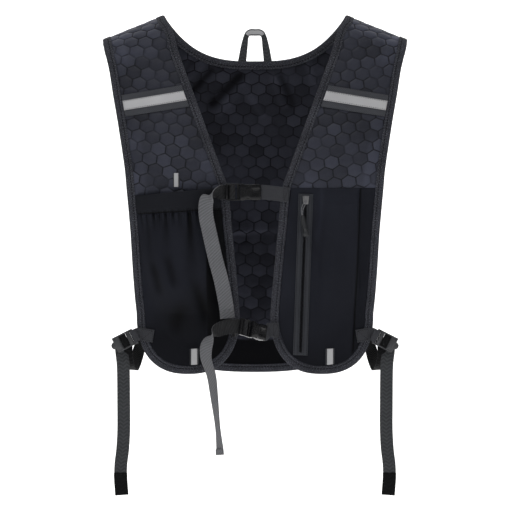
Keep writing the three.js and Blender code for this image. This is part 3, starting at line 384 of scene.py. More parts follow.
def back_place(across, down, inset):
    """Place on the back panel: across runs from -1 to 1."""
    across, down, inset = spread(across, down, inset)
    corner = BACK_ROWS["down"][-1]
    outer = between(BACK_ROWS, "outer", np.minimum(down, corner)) * SHOULDER_HALF - inset
    x = across * outer
    share = np.minimum(np.abs(across) / NECK_SHARE, 1) ** NECK_ROUNDNESS
    top = mix(NECK_DEPTH, SEAM_DROP, share) + np.where(np.abs(across) > NECK_SHARE, fall(x), 0)
    z = WALL / 2 - down * BACK_LENGTH - top * (1 - smooth(down / 0.35))
    below = down > corner
    low_x, low_z = hem_place(across, down, inset, outer, corner, BACK_LENGTH, BACK_HEM_ROUNDNESS)
    return np.where(below, low_x, x), np.where(below, low_z, z)


def arc_table():
    """Arc length less drop, over the drop, for laying patterns on the rolled shoulders."""
    drops = np.concatenate([np.linspace(0, 0.004, 400), np.linspace(0.0041, BODY_LENGTH, 2000)])
    depth = depth_at(drops, np.full_like(drops, -1.0))
    arc = np.concatenate([[0], np.cumsum(np.hypot(np.diff(drops), np.diff(depth)))])
    return drops, arc


DROPS, ARCS = arc_table()
SPANS = np.linspace(0, BODY_HALF * 0.98, 600)
WRAPS = np.concatenate(
    [[0], np.cumsum(np.hypot(np.diff(SPANS), np.diff(CHEST_DEPTH * wrap_at(SPANS))))]
)


def laid_out(x, z, side):
    """Where a place on the body lies on the flat cloth, in metres."""
    drop = drop_at(x, z)
    arc = np.interp(drop, DROPS, ARCS)
    u = np.sign(x) * np.interp(np.abs(x), SPANS, WRAPS)
    v = np.where(np.asarray(side) < 0, -z + arc - drop, fall(x) - arc)
    return np.stack([u, -v], -1)


def turned(uv, degrees):
    angle = math.radians(degrees)
    c, s = math.cos(angle), math.sin(angle)
    return np.stack([uv[..., 0] * c - uv[..., 1] * s, uv[..., 0] * s + uv[..., 1] * c], -1)


def cell_edge(uv, pitch, row):
    """Distance from the edge of the nearest honeycomb cell, as a share of half the pitch."""
    squash = pitch * math.sqrt(3) / 2 / row
    p = uv * np.array([1.0, squash]) / pitch
    size = np.array([1.0, math.sqrt(3)])
    a = np.mod(p, size) - size / 2
    b = np.mod(p - size / 2, size) - size / 2
    near = np.where(((a**2).sum(-1) < (b**2).sum(-1))[..., None], a, b)
    q = np.abs(near)
    return 1 - 2 * np.maximum(q[..., 0], q[..., 0] / 2 + q[..., 1] * math.sqrt(3) / 2)


def distances(points):
    """How far along a path each of its points lies."""
    return np.concatenate([[0], np.cumsum(np.linalg.norm(np.diff(points, axis=0), axis=1))])


def headings(points):
    """Directions along a path at its points."""
    run = np.empty_like(points)
    run[1:-1] = points[2:] - points[:-2]
    run[0], run[-1] = points[1] - points[0], points[-1] - points[-2]
    return unit(run)


# Meshes


def piece(name, points, faces, uv=None, shade=None):
    """A mesh object from arrays of points and four-cornered faces, facing outwards.

    Shade tells how much darker each point's cloth is drawn, and below nought how much lighter: painted
    shade in folds, creases and hollows, painted highlights on crests and shoulder tops, and broader
    darkening and lightening over the panels.
    """
    faces = np.asarray(faces, np.int32)
    corners = points[faces]
    first = np.cross(corners[:, 1], corners[:, 2])
    second = np.cross(corners[:, 2], corners[:, 3])
    volume = (corners[:, 0] * (first + second)).sum()
    if volume < 0:
        faces = faces[:, ::-1]
    mesh = bpy.data.meshes.new(name)
    mesh.vertices.add(len(points))
    mesh.vertices.foreach_set("co", np.asarray(points, np.float32).ravel())
    mesh.loops.add(faces.size)
    mesh.loops.foreach_set("vertex_index", faces.ravel())
    mesh.polygons.add(len(faces))
    mesh.polygons.foreach_set("loop_start", np.arange(0, faces.size, 4, dtype=np.int32))
    mesh.update(calc_edges=True)
    mesh.polygons.foreach_set("use_smooth", np.full(len(faces), True))
    if uv is not None:
        layer = mesh.uv_layers.new(name="UVMap")
        layer.data.foreach_set("uv", np.asarray(uv, np.float32)[faces.ravel()].ravel())
    # The shade attribute carries painted shade and painted highlights
    if shade is not None:
        values = mesh.attributes.new("shade", "FLOAT", "POINT")
        values.data.foreach_set("value", np.asarray(shade, np.float32).ravel())
    mesh.validate()
    obj = bpy.data.objects.new(name, mesh)
    bpy.context.scene.collection.objects.link(obj)
    return obj


def grid_faces(rows, columns, start=0):
    i, j = np.meshgrid(np.arange(rows - 1), np.arange(columns - 1), indexing="ij")
    a = (start + i * columns + j).ravel()
    return np.stack([a, a + 1, a + columns + 1, a + columns], -1)


def rim_of(rows, columns):
    """Indices round the rim of a grid, once."""
    top = np.arange(columns - 1)
    right = np.arange(rows - 1) * columns + columns - 1
    bottom = (rows - 1) * columns + np.arange(columns - 1, 0, -1)
    left = np.arange(rows - 1, 0, -1) * columns
    return np.concatenate([top, right, bottom, left])


def wall(name, outer, inner, uv, shade=None):
    """A closed cloth wall between two grids of points."""
    rows, columns = outer.shape[:2]
    count = rows * columns
    faces = [grid_faces(rows, columns), grid_faces(rows, columns, count)[:, ::-1]]
    rim = rim_of(rows, columns)
    after = np.roll(rim, -1)
    faces.append(np.stack([after, rim, rim + count, after + count], -1))
    points = np.concatenate([outer.reshape(-1, 3), inner.reshape(-1, 3)])
    flat_uv = np.concatenate([uv.reshape(-1, 2)] * 2)
    both = None if shade is None else np.concatenate([shade.ravel()] * 2)
    return piece(name, points, np.concatenate(faces), flat_uv, shade=both)


def loop_faces(count, sides):
    """Faces between rings of points, in order."""
    i, j = np.meshgrid(np.arange(count - 1), np.arange(sides), indexing="ij")
    a = (i * sides + j).ravel()
    b = (i * sides + (j + 1) % sides).ravel()
    return np.stack([a, b, b + sides, a + sides], -1)


def repeated(name, template, rings, places, axes):
    """A small closed body of rings, copied to places that each have their own three axes."""
    sides = len(template) // rings
    points = places[:, None]
    for k, axis in enumerate(axes):
        points = points + axis[:, None] * template[None, :, k : k + 1]
    faces = loop_faces(rings, sides).tolist()
    end = (rings - 1) * sides
    for k in range(sides // 2 - 1):
        faces.append((k, k + 1, sides - 2 - k, sides - 1 - k))
        faces.append((end + sides - 1 - k, end + sides - 2 - k, end + k + 1, end + k))
    start = np.arange(len(places)) * len(template)
    faces = (np.array(faces)[None] + start[:, None, None]).reshape(-1, 4)
    points = points.reshape(-1, 3)
    return piece(name, points, faces, np.zeros((len(points), 2)))


def lofted(name, rings, uv):
    """A closed body through rings of points, with a small grid closing each end."""
    count, sides = rings.shape[:2]
    faces = [loop_faces(count, sides)]
    half = sides // 2
    for start, turn in ((0, 1), ((count - 1) * sides, -1)):
        for k in range(half - 1):
            quad = np.array([[k, sides - 1 - k, sides - 2 - k, k + 1]]) + start
            faces.append(quad[:, ::turn])
    return piece(name, rings.reshape(-1, 3), np.concatenate(faces), uv.reshape(-1, 2))


def joined(name, objects):
    """One object from several, keeping the first one's place."""
    deselect()
    for obj in objects:
        obj.select_set(True)
    bpy.context.view_layer.objects.active = objects[0]
    bpy.ops.object.join()
    objects[0].name = name
    return objects[0]


def deselect():
    for obj in bpy.context.view_layer.objects:
        obj.select_set(False)


def catmull(points, count, centripetal=True):
    """Points spread evenly in parameter along a smooth curve through the given ones."""
    p = np.asarray(points, float)
    p = np.concatenate([[2 * p[0] - p[1]], p, [2 * p[-1] - p[-2]]])
    spans = len(p) - 3
    t = np.linspace(0, spans, count + 1)
    i = np.minimum(t.astype(int), spans - 1)
    w = (t - i)[:, None]
    a, b, c, d = p[i], p[i + 1], p[i + 2], p[i + 3]
    if centripetal:
        gap = [np.sqrt(np.linalg.norm(q - r, axis=-1, keepdims=True)) for q, r in ((b, a), (c, b), (d, c))]
        first, second, third = (np.maximum(g, 1e-6) for g in gap)
        start = ((b - a) / first - (c - a) / (first + second) + (c - b) / second) * second
        end = ((c - b) / second - (d - b) / (second + third) + (d - c) / third) * second
    else:
        start, end = (c - a) / 2, (d - b) / 2
    return hermite(w, b, start, c, end)


def eased(points, across, count):
    return catmull(points, count), unit(catmull(across, count, False))


def cornered(points, across, times=2):
    """Cuts the corners of a run of stations, so that a strap turns in small bends."""
    p, s = np.asarray(points, float), np.asarray(across, float)
    for _ in range(times):
        near = [q[:-1] * 0.75 + q[1:] * 0.25 for q in (p, s)]
        far = [q[:-1] * 0.25 + q[1:] * 0.75 for q in (p, s)]
        mid = [np.stack([n, f], 1).reshape(-1, 3) for n, f in zip(near, far)]
        p = np.concatenate([p[:1], mid[0], p[-1:]])
        s = np.concatenate([s[:1], mid[1], s[-1:]])
    return p, unit(s)


STRAP_SECTION = np.array(
    [(-1, 0), (-0.985, -0.7), (-0.95, -1), (-0.45, -1), (0.45, -1), (0.95, -1), (0.985, -0.7)]
    + [(1, 0), (0.985, 0.7), (0.95, 1), (0.45, 1), (-0.45, 1), (-0.95, 1), (-0.985, 0.7)]
)


# How far across the flat cloth the reverse of a strap lies from its face, in metres
REVERSE = 1.0
# Sides of a stitch's and a zipper tooth's round section
THREAD_SIDES = 6


def strap(name, points, across, width, thickness, taper=None, plain=0):
    """Webbing through stations, each with the direction across it.

    Its reverse lies REVERSE further across the flat cloth, and so do both faces of the
    first stations when plain counts them.
    """
    p = np.asarray(points, float)
    keep = np.concatenate([[True], np.linalg.norm(np.diff(p, axis=0), axis=1) > 1e-6])
    p, s = p[keep], np.asarray(across, float)[keep]
    plain = int(keep[:plain].sum())
    run = headings(p)
    side = unit(s - (s * run).sum(-1, keepdims=True) * run)
    face = np.cross(run, side)
    wide = np.full(len(p), width) if taper is None else width * taper
    a = STRAP_SECTION[:, 0][None, :, None] * wide[:, None, None] / 2
    b = STRAP_SECTION[:, 1][None, :, None] * thickness / 2
    rings = p[:, None] + side[:, None] * a + face[:, None] * b
    along = distances(p)
    # Points drawn darker: the reverse face, and both faces of the first plain stations, where the dark is
    # partly painted shade
    reverse = np.tile(STRAP_SECTION[:, 1] < 0, (len(p), 1))
    reverse[:plain] = True
    uv = np.stack(np.broadcast_arrays(a[..., 0] + REVERSE * reverse, along[:, None]), -1)
    return lofted(name, rings, uv)


def seam(name, points, outs, pitch=0.0034, length=0.0024, radius=0.00045, slant=0.0):
    """A row of stitches along a path that lies on a surface."""
    p = np.asarray(points, float)
    along = distances(p)
    count = max(int(along[-1] / pitch), 1)
    at = (np.arange(count) + 0.5) * along[-1] / count

    def along_it(places, values):
        return np.stack([np.interp(places, along, values[:, k]) for k in range(3)], -1)

    middle, out = along_it(at, p), unit(along_it(at, outs))
    run = unit(along_it(at + length / 2, p) - along_it(at - length / 2, p))
    side = unit(np.cross(out, run))
    run = unit(run + side * slant)
    side = unit(np.cross(out, run))
    rings = [(-0.5, 0.3, -0.5), (-0.36, 0.9, 0.25), (0, 1, 0.5), (0.36, 0.9, 0.25), (0.5, 0.3, -0.5)]
    turn = np.arange(THREAD_SIDES) * 2 * math.pi / THREAD_SIDES
    template = np.array(
        [
            (f * length, radius * r * math.cos(t), radius * (r * math.sin(t) + h))
            for f, r, h in rings
            for t in turn
        ]
    )
    return repeated(name, template, len(rings), middle, (run, side, out))


def stitch_row(name, x, z, top, *size):
    """A seam through places on the front, at a height over the body."""
    p, _, _, out = body_frame(x, z, -1.0, top)
    return seam(name, p, out, *size)


# Materials


class Nodes:
    """Adds nodes to a tree, with short calls for the common ones."""

    def __init__(self, tree):
        self.tree = tree

    def feed(self, socket, value):
        """Links an output to a socket, or sets a constant there."""
        if isinstance(value, bpy.types.NodeSocket):
            self.tree.links.new(value, socket)
        else:
            socket.default_value = value

    def add(self, kind, values=None, **settings):
        node = self.tree.nodes.new(kind)
        for key, value in settings.items():
            setattr(node, key, value)
        for key, value in (values or {}).items():
            self.feed(node.inputs[key], value)
        return node

    def math(self, operation, a, b=0.0, clamp=False):
        return self.add("ShaderNodeMath", {0: a, 1: b}, operation=operation, use_clamp=clamp).outputs[0]

    def scaled(self, value, by, plus=0.0):
        return self.math("ADD", self.math("MULTIPLY", value, by), plus)

    def vector(self, operation, a, b=(0, 0, 0)):
        node = self.add("ShaderNodeVectorMath", {0: a, 1: b}, operation=operation)
        return node.outputs["Value" if operation in ("DOT_PRODUCT", "LENGTH") else "Vector"]

    def ramp(self, value, low, high, to_low=0.0, to_high=1.0):
        """Eased change of a value between two limits."""
        values = {"Value": value, "From Min": low, "From Max": high, "To Min": to_low, "To Max": to_high}
        return self.add("ShaderNodeMapRange", values, interpolation_type="SMOOTHSTEP").outputs[0]

    def blend(self, share, a, b):
        return self.add("ShaderNodeMix", {0: share, 6: a, 7: b}, data_type="RGBA").outputs[2]

    def shade(self):
        """One less the shade painted into the mesh's points."""
        node = self.add("ShaderNodeAttribute", attribute_name="shade")
        return self.math("SUBTRACT", 1.0, node.outputs["Fac"])

    def noise(self, vector, scale, detail=3.0, roughness=0.5):
        values = {"Vector": vector, "Scale": scale, "Detail": detail, "Roughness": roughness}
        return self.add("ShaderNodeTexNoise", values).outputs[0]

    def tone(self, colour, amount):
        """A colour made lighter or darker by an amount round 1."""
        start = colour if isinstance(colour, bpy.types.NodeSocket) else tuple(colour)[:3]
        return self.add("ShaderNodeVectorMath", {0: start, 1: amount}, operation="MULTIPLY").outputs[0]


def node_group(name, inputs, outputs):
    """A new shader node group that takes a vector and named numbers, its helper and its ends."""
    tree = bpy.data.node_groups.new(name, "ShaderNodeTree")
    number = {"socket_type": "NodeSocketFloat"}
    tree.interface.new_socket("Vector", in_out="INPUT", socket_type="NodeSocketVector")
    for key, value in inputs.items():
        tree.interface.new_socket(key, in_out="INPUT", **number).default_value = value
    for key in outputs:
        tree.interface.new_socket(key, in_out="OUTPUT", **number)
    start = tree.nodes.new("NodeGroupInput").outputs
    end = tree.nodes.new("NodeGroupOutput").inputs
    return tree, Nodes(tree), start, end


def honeycomb_group():
    """Cells on the cloth: how far into a cell, and a value that differs from cell to cell."""
    if "Honeycomb" in bpy.data.node_groups:
        return bpy.data.node_groups["Honeycomb"]
    tree, n, start, end = node_group("Honeycomb", {"Pitch": 0.017, "Row": 0.0123}, ["Edge", "Cell"])
    squash = n.math("DIVIDE", n.math("MULTIPLY", start["Pitch"], math.sqrt(3) / 2), start["Row"])
    stretch = n.add("ShaderNodeCombineXYZ", {0: 1.0, 1: squash, 2: 0.0}).outputs[0]
    p = n.vector("MULTIPLY", start["Vector"], stretch)
    scale = n.math("DIVIDE", 1.0, start["Pitch"])
    p = n.add("ShaderNodeVectorMath", {0: p, "Scale": scale}, operation="SCALE").outputs[0]
    size = (1.0, math.sqrt(3), 1.0)
    half = (0.5, math.sqrt(3) / 2, 0.5)

    def tile(q):
        wrapped = n.add("ShaderNodeVectorMath", {0: q, 1: size, 2: (0, 0, 0)}, operation="WRAP").outputs[0]
        return n.vector("MULTIPLY", n.vector("SUBTRACT", wrapped, half), (1, 1, 0))

    a = tile(p)
    b = tile(n.vector("SUBTRACT", p, half))
    nearer = n.math("LESS_THAN", n.vector("LENGTH", a), n.vector("LENGTH", b))
    near = n.add("ShaderNodeMix", {0: nearer, 4: b, 5: a}, data_type="VECTOR").outputs[1]
    q = n.add("ShaderNodeVectorMath", {0: near}, operation="ABSOLUTE").outputs[0]
    slanted = n.vector("DOT_PRODUCT", q, (0.5, math.sqrt(3) / 2, 0))
    straight = n.vector("DOT_PRODUCT", q, (1, 0, 0))
    reach = n.math("MULTIPLY", n.math("MAXIMUM", slanted, straight), 2.0)
    n.feed(end["Edge"], n.math("SUBTRACT", 1.0, reach))
    middle = n.vector("SUBTRACT", p, near)
    snapped = n.add("ShaderNodeVectorMath", {0: middle, 1: (0.25, 0.25, 0.25)}, operation="SNAP").outputs[0]
    value = n.add("ShaderNodeTexWhiteNoise", {"Vector": snapped}, noise_dimensions="2D").outputs[0]
    n.feed(end["Cell"], value)
    return tree


def weave_group():
    """Woven or knitted threads on a flat cloth: a height and a tone."""
    if "Weave" in bpy.data.node_groups:
        return bpy.data.node_groups["Weave"]
    inputs = {"Across": 0.0012, "Along": 0.0012, "Slant": 0.0, "Zigzag": 0.0}
    tree, n, start, end = node_group("Weave", inputs, ["Height", "Tone"])
    split = n.add("ShaderNodeSeparateXYZ", {0: start["Vector"]}).outputs
    folded = n.math("PINGPONG", split[0], 0.0042)
    u = n.scaled(n.math("SUBTRACT", folded, split[0]), start["Zigzag"], split[0])
    v = n.scaled(u, start["Slant"], split[1])
    along = n.math("MULTIPLY", n.math("DIVIDE", v, start["Along"]), 2 * math.pi)
    across = n.math("MULTIPLY", n.math("DIVIDE", u, start["Across"]), 2 * math.pi)
    ribs = n.scaled(n.math("SINE", along), 0.5, 0.5)
    threads = n.scaled(n.math("SINE", across), 0.5, 0.5)
    height = n.scaled(ribs, 0.65, n.math("MULTIPLY", threads, 0.35))
    n.feed(end["Height"], height)
    fleck = n.noise(start["Vector"], 900.0, 2.0, 0.7)
    n.feed(end["Tone"], n.scaled(height, 0.6, n.math("MULTIPLY", fleck, 0.4)))
    return tree


def grain_group():
    """Fine uneven surface and slow change of tone, from the piece's own coordinates."""
    if "Grain" in bpy.data.node_groups:
        return bpy.data.node_groups["Grain"]
    tree, n, start, end = node_group("Grain", {"Fine": 900.0, "Broad": 18.0}, ["Fine", "Broad"])
    n.feed(end["Fine"], n.noise(start["Vector"], start["Fine"], 4.0, 0.65))
    n.feed(end["Broad"], n.noise(start["Vector"], start["Broad"], 2.0, 0.5))
    return tree


def material(name):
    """A new material's tree helper, its shader, and its map and object coordinates."""
    mat = bpy.data.materials.new(name)
    mat.use_nodes = True
    n = Nodes(mat.node_tree)
    shader = mat.node_tree.nodes["Principled BSDF"]
    places = n.add("ShaderNodeTexCoord").outputs
    return n, shader, places["UV"], places["Object"]


def grain(n, places, fine, broad):
    values = {"Vector": places, "Fine": fine, "Broad": broad}
    return n.add("ShaderNodeGroup", values, node_tree=grain_group()).outputs


def weave(n, places, across, along, slant=0.0, zigzag=0.0):
    values = {"Vector": places, "Across": across, "Along": along, "Slant": slant, "Zigzag": zigzag}
    return n.add("ShaderNodeGroup", values, node_tree=weave_group()).outputs


def finish(n, shader, colour, roughness, height, strength, distance, sheen=0.0):
    """Feeds a colour, a roughness and a bump to a shader."""
    n.feed(shader.inputs["Base Color"], colour)
    n.feed(shader.inputs["Roughness"], roughness)
    shader.inputs["Sheen Weight"].default_value = sheen
    shader.inputs["Sheen Roughness"].default_value = 0.4
    shader.inputs["Specular IOR Level"].default_value = 0.06
    bump = n.add("ShaderNodeBump", {"Strength": strength, "Distance": distance, "Height": height})
    n.feed(shader.inputs["Normal"], bump.outputs[0])


def colour_of(value):
    return (*value[:3], 1.0)


def mesh_material(name, colour, low_z, gloss):
    """Padded honeycomb mesh: domed cells between dark grooves, plain below a height."""
    sizes, groove = bpy.context.scene.vest_sizes, bpy.context.scene.vest_colours.groove
    n, shader, uv, places = material(name)
    values = {"Vector": uv, "Pitch": sizes.cell_pitch, "Row": sizes.cell_row}
    edge, cell = n.add("ShaderNodeGroup", values, node_tree=honeycomb_group()).outputs
    wobble = n.noise(uv, 420.0, 2.0)
    edge = n.scaled(n.math("SUBTRACT", wobble, 0.5), 0.09, edge)
    inside = n.ramp(edge, 0.02, 0.13)
    height_place = n.add("ShaderNodeSeparateXYZ", {0: places}).outputs[2]
    plain = n.ramp(height_place, low_z - 0.002, low_z + 0.002, 1.0, 0.0)
    fine, broad = grain(n, uv, 1500.0, 16.0)
    tone = n.scaled(cell, 0.75, n.math("MULTIPLY", broad, 0.7))
    tone = n.scaled(fine, 0.5, tone)
    # The mesh's painted shade and painted highlights darken and lighten the cells' tone
    tone = n.math("MULTIPLY", n.math("ADD", tone, 0.03), n.shade())
    body = n.tone(colour_of(colour), tone)
    faint = n.ramp(n.noise(uv, 26.0, 2.0, 0.6), 0.42, 0.66, 0.0, 0.7)
    inside = n.math("MAXIMUM", inside, faint)
    seen = n.blend(inside, colour_of(groove), body)
    dark = n.tone(colour_of(groove), n.scaled(fine, 0.6, 0.2))
    seen = n.blend(plain, seen, dark)
    rough = n.scaled(inside, -0.16 * gloss, 0.74)
    dome = n.math("SQRT", n.math("MAXIMUM", n.math("MULTIPLY", edge, inside), 0.0))
    relief = n.scaled(dome, 0.8, n.math("MULTIPLY", fine, 0.16))
    relief = n.math("MULTIPLY", relief, n.math("SUBTRACT", 1.0, plain))
    finish(n, shader, seen, rough, relief, 0.8, 0.0012)
    shader.inputs["Specular IOR Level"].default_value = 0.16 * gloss


def cloth_material(name, colour, roughness, fine_size=0.0006):
    """Smooth stretch cloth with a close weave."""
    n, shader, uv, _ = material(name)
    height, tone = weave(n, uv, fine_size, fine_size, 0.6)
    fine, broad = grain(n, uv, 1300.0, 12.0)
    amount = n.scaled(tone, 0.18, n.math("MULTIPLY", broad, 0.7))
    # The mesh's painted shade and painted highlights darken and lighten the cloth's tone
    amount = n.math("MULTIPLY", n.math("ADD", amount, 0.52), n.shade())
    seen = n.tone(colour_of(colour), amount)
    relief = n.scaled(height, 0.5, n.math("MULTIPLY", fine, 0.5))
    finish(n, shader, seen, roughness, relief, 0.35, 0.00025, 0.01)


def binding_material(name, colour):
    """Knitted tape, with lighter flecks."""
    n, shader, uv, _ = material(name)
    height, tone = weave(n, uv, 0.0011, 0.0013, 0.9)
    speck = n.noise(uv, 850.0, 3.0, 0.75)
    light = n.ramp(speck, 0.5, 0.68)
    fine, broad = grain(n, uv, 1500.0, 30.0)
    amount = n.scaled(tone, 0.7, n.math("MULTIPLY", light, 1.4))
    amount = n.scaled(broad, 0.5, amount)
    seen = n.tone(colour_of(colour), n.math("SUBTRACT", amount, 0.2))
    relief = n.scaled(height, 0.6, n.math("MULTIPLY", fine, 0.5))
    finish(n, shader, seen, 0.82, relief, 0.8, 0.0007, 0.03)


def webbing_material(name, colour, pitch, slant, zigzag=0.0, contrast=0.9, reverse=1.0):
    """Woven webbing with slanting ribs."""
    n, shader, uv, _ = material(name)
    height, tone = weave(n, uv, 0.0008, pitch, slant, zigzag)
    fine, broad = grain(n, uv, 1800.0, 40.0)
    amount = n.scaled(tone, contrast, n.math("MULTIPLY", fine, 0.4))
    amount = n.scaled(broad, 0.25, amount)
    base = 1.0 - contrast / 2 - 0.3
    # Darker by reverse on the strap's reverse face and on both faces of its first stretch, where it is
    # partly painted shade
    turned_over = n.math("GREATER_THAN", n.add("ShaderNodeSeparateXYZ", {0: uv}).outputs[0], REVERSE / 2)
    amount = n.math("MULTIPLY", n.math("ADD", amount, base), n.ramp(turned_over, 0.0, 1.0, 1.0, reverse))
    seen = n.tone(colour_of(colour), amount)
    finish(n, shader, seen, 0.72, height, 0.8, 0.0006, 0.03)


def silver_material(name, colour):
    """Reflective tape: fine glass beads over a silver ground."""
    n, shader, uv, _ = material(name)
    beads = n.add("ShaderNodeTexVoronoi", {"Vector": uv, "Scale": 2200.0}).outputs[0]
    fine, broad = grain(n, uv, 700.0, 25.0)
    amount = n.scaled(broad, 0.22, n.math("MULTIPLY", fine, 0.12))
    seen = n.tone(colour_of(colour), n.math("ADD", amount, 0.83))
    rough = n.scaled(fine, 0.12, 0.4)
    finish(n, shader, seen, rough, beads, 0.3, 0.0001)
    shader.inputs["Metallic"].default_value = 0.25


def plastic_material(name, colour, roughness=0.22, coat=0.1, metallic=0.0):
    """Moulded plastic or rubber, with faint scuffs."""
    n, shader, _, places = material(name)
    fine, broad = grain(n, places, 900.0, 60.0)
    seen = n.tone(colour_of(colour), n.scaled(broad, 0.5, 0.75))
    scuffs = n.ramp(fine, 0.5, 0.7)
    rough = n.scaled(scuffs, 0.12, roughness)
    finish(n, shader, seen, rough, fine, 0.15, 0.0002)
    shader.inputs["Specular IOR Level"].default_value = 0.22
    shader.inputs["Coat Weight"].default_value = coat
    shader.inputs["Coat Roughness"].default_value = 0.1
    shader.inputs["Metallic"].default_value = metallic


def thread_material(name, colour):
    n, shader, _, places = material(name)
    fine, broad = grain(n, places, 2500.0, 200.0)
    seen = n.tone(colour_of(colour), n.scaled(broad, 0.6, 0.7))
    finish(n, shader, seen, 0.7, fine, 0.4, 0.0002)


# Finishes: how each is made, its colour setting, and what else it takes
FINISHES = {
    "front_honeycomb": (mesh_material, "panel", -9.0, 1.0),
    "back_honeycomb": (mesh_material, "back", -0.377, 0.3),
    "stretch_cloth": (cloth_material, "pocket", 0.55),
    "elastic": (cloth_material, "elastic", 0.6, 0.0009),
    "binding_knit": (binding_material, "binding"),
    "band_webbing": (webbing_material, "webbing", 0.0024, 1.2, 0.0, 1.0),
    "tab_webbing": (webbing_material, "tab", 0.0021, 1.4, 1.0, 1.1),
    "strap_webbing": (webbing_material, "strap", 0.0034, 0.62, 0.0, 0.9, 0.14),
    "side_webbing": (webbing_material, "side_strap", 0.0044, 0.8, 1.0, 1.0, 0.12),
    "zipper_cloth": (webbing_material, "zipper", 0.0012, 0.0, 0.0, 0.5),
    "silver": (silver_material, "silver"),
    "moulding": (plastic_material, "plastic"),
    # The locks' lighter colour is a painted highlight for their lit bars
    "lock_moulding": (plastic_material, "lock", 0.34, 0.12),
    "grip_rubber": (plastic_material, "rubber", 0.42, 0.0),
    "slider_metal": (plastic_material, "slider", 0.28, 0.0, 0.7),
    "thread": (thread_material, "thread"),
    "silver_thread": (thread_material, "thread"),
    "coil_nylon": (thread_material, "thread"),
}


def dress(name):
    """The named finish, made when it is first asked for."""
    if name not in bpy.data.materials:
        make, colour, *values = FINISHES[name]
        make(name, getattr(bpy.context.scene.vest_colours, colour), *values)
    return bpy.data.materials[name]


def put(obj, look, nodes=()):
    """Gives a piece its finish, makes it ride on the body and stand for its solids."""
    obj.data.materials.clear()
    obj.data.materials.append(dress(look))
    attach(obj, "root")
    if nodes:
        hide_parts(*nodes)


def grid_sheet(grid):
    """Works out the flat width, length and area of a grid of points, and keeps none of them."""
    rows = np.linalg.norm(np.diff(grid, axis=1), axis=-1).sum(1)
    columns = np.linalg.norm(np.diff(grid, axis=0), axis=-1).sum(0)
    a, b = grid[1:, 1:] - grid[:-1, :-1], grid[1:, :-1] - grid[:-1, 1:]
    area = np.linalg.norm(np.cross(a, b), axis=-1).sum() / 2
    width, length = float(rows.max()), float(columns.max())
    area = min(float(area), width * length)


def strip_sheet(obj):
    """Reads the map of a strip of webbing or tape, and keeps nothing of it."""
    uv = np.empty(len(obj.data.loops) * 2)
    obj.data.uv_layers[0].data.foreach_get("uv", uv)


HANDS = (("left", -1), ("right", 1))


# Panels


def front_stations(step):
    """Down and side from the seam behind the ridge to the hem."""
    turn = step / 0.041
    back = np.arange(SEAM_ANGLE, turn / 2, -turn)
    front = np.arange(0, math.radians(86), turn)
    down = [SHOULDER_ROLL * (1 - np.cos(a)) / BODY_LENGTH for a in (back, front)]
    chest = np.arange(down[1][-1] + step / BODY_LENGTH, 1, step / BODY_LENGTH)
    chest = np.append(chest[:-1], 1.0)
    downs = np.concatenate([*down, chest])
    sides = np.concatenate([np.ones(len(back)), -np.ones(len(front) + len(chest))])
    return downs, sides


def panel_relief(uv, sizes):
    edge = cell_edge(uv, sizes.cell_pitch, sizes.cell_row)
    return sizes.cell_relief * (smooth((edge - 0.02) / 0.3) * 0.75 + 0.25 * smooth(edge))


class VEST_OT_front_panels(bpy.types.Operator):
    """Padded honeycomb mesh of both front panels"""

    bl_idname = "vest.front_panels"
    bl_label = "Front panels"

    def execute(self, context):
        sizes = context.scene.vest_sizes
        downs, sides = front_stations(sizes.panel_step)
        columns = int(0.125 / sizes.panel_step)
        across = np.linspace(0, 1, columns + 1)
        for name, sign in HANDS:
            x, z = front_place(across[None], downs[:, None], EDGE_INSET)
            side = np.broadcast_to(sides[:, None], x.shape)
            uv = turned(laid_out(sign * x, z, side), -8 * sign)
            relief = panel_relief(uv, sizes)
            outer, _ = front_place(0.0, downs, 0.0)
            inner, _ = front_place(1.0, downs, 0.0)
            inset = np.minimum(outer[:, None] - x, x - inner[:, None])
            down = downs[:, None] * BODY_LENGTH
            band = np.abs(down - BAND_DOWN + BAND_RISE * (across - 0.5))
            shown = smooth((inset - BINDING_WIDTH + 0.001) / 0.003)
            shown = shown * smooth((band - BAND_WIDTH / 2) / 0.003)
            shown = shown * (1 - smooth((down - POCKET_TOP - 0.004) / 0.008))
            shown = shown * smooth((down * side * -1 + 0.003) / 0.004)
            height = WALL / 2 + relief * shown
            points, _, _, out = body_frame(sign * x, z, side, height)
            under = points - out * (height + WALL / 2)[..., None]
            # Painted light over the cells: a painted highlight on the shoulder tops, darker across the
            # upper chest, and lighter along the outer column and low down
            outermost = 1 - smooth((outer[:, None] - x - 0.021) / 0.006)
            top = 1 - smooth((drop_at(x, z) - 0.006) / 0.012)
            upper = smooth((down - 0.03) / 0.03) * (1 - smooth((down - 0.115) / 0.05))
            lower = smooth((down - 0.15) / 0.05)
            shade = 0.22 * upper - 0.12 * lower - 0.35 * outermost * (1 - upper) - 0.8 * top
            obj = wall(f"front_panel_mesh_{name}", points, under, uv, shade)
            put(obj, "front_honeycomb", [f"front_panel_{name}"])
            grid_sheet(points - out * height[..., None])
        return {"FINISHED"}


def back_folds(x, z):
    """Height of the wrinkles at places on the back panel, towards the inside."""
    total = np.zeros_like(x)
    for x0, z0, x1, z1, width, depth in BACK_FOLDS:
        run = np.array([x1 - x0, z1 - z0])
        length = float(np.hypot(*run))
        along = ((x - x0) * run[0] + (z - z0) * run[1]) / length**2
        off = ((x - x0) * run[1] - (z - z0) * run[0]) / length
        near = smooth((along + 0.25) / 0.3) * (1 - smooth((along - 0.95) / 0.3))
        total += -0.0015 * depth * np.exp(-((off / width) ** 2)) * near
    return total


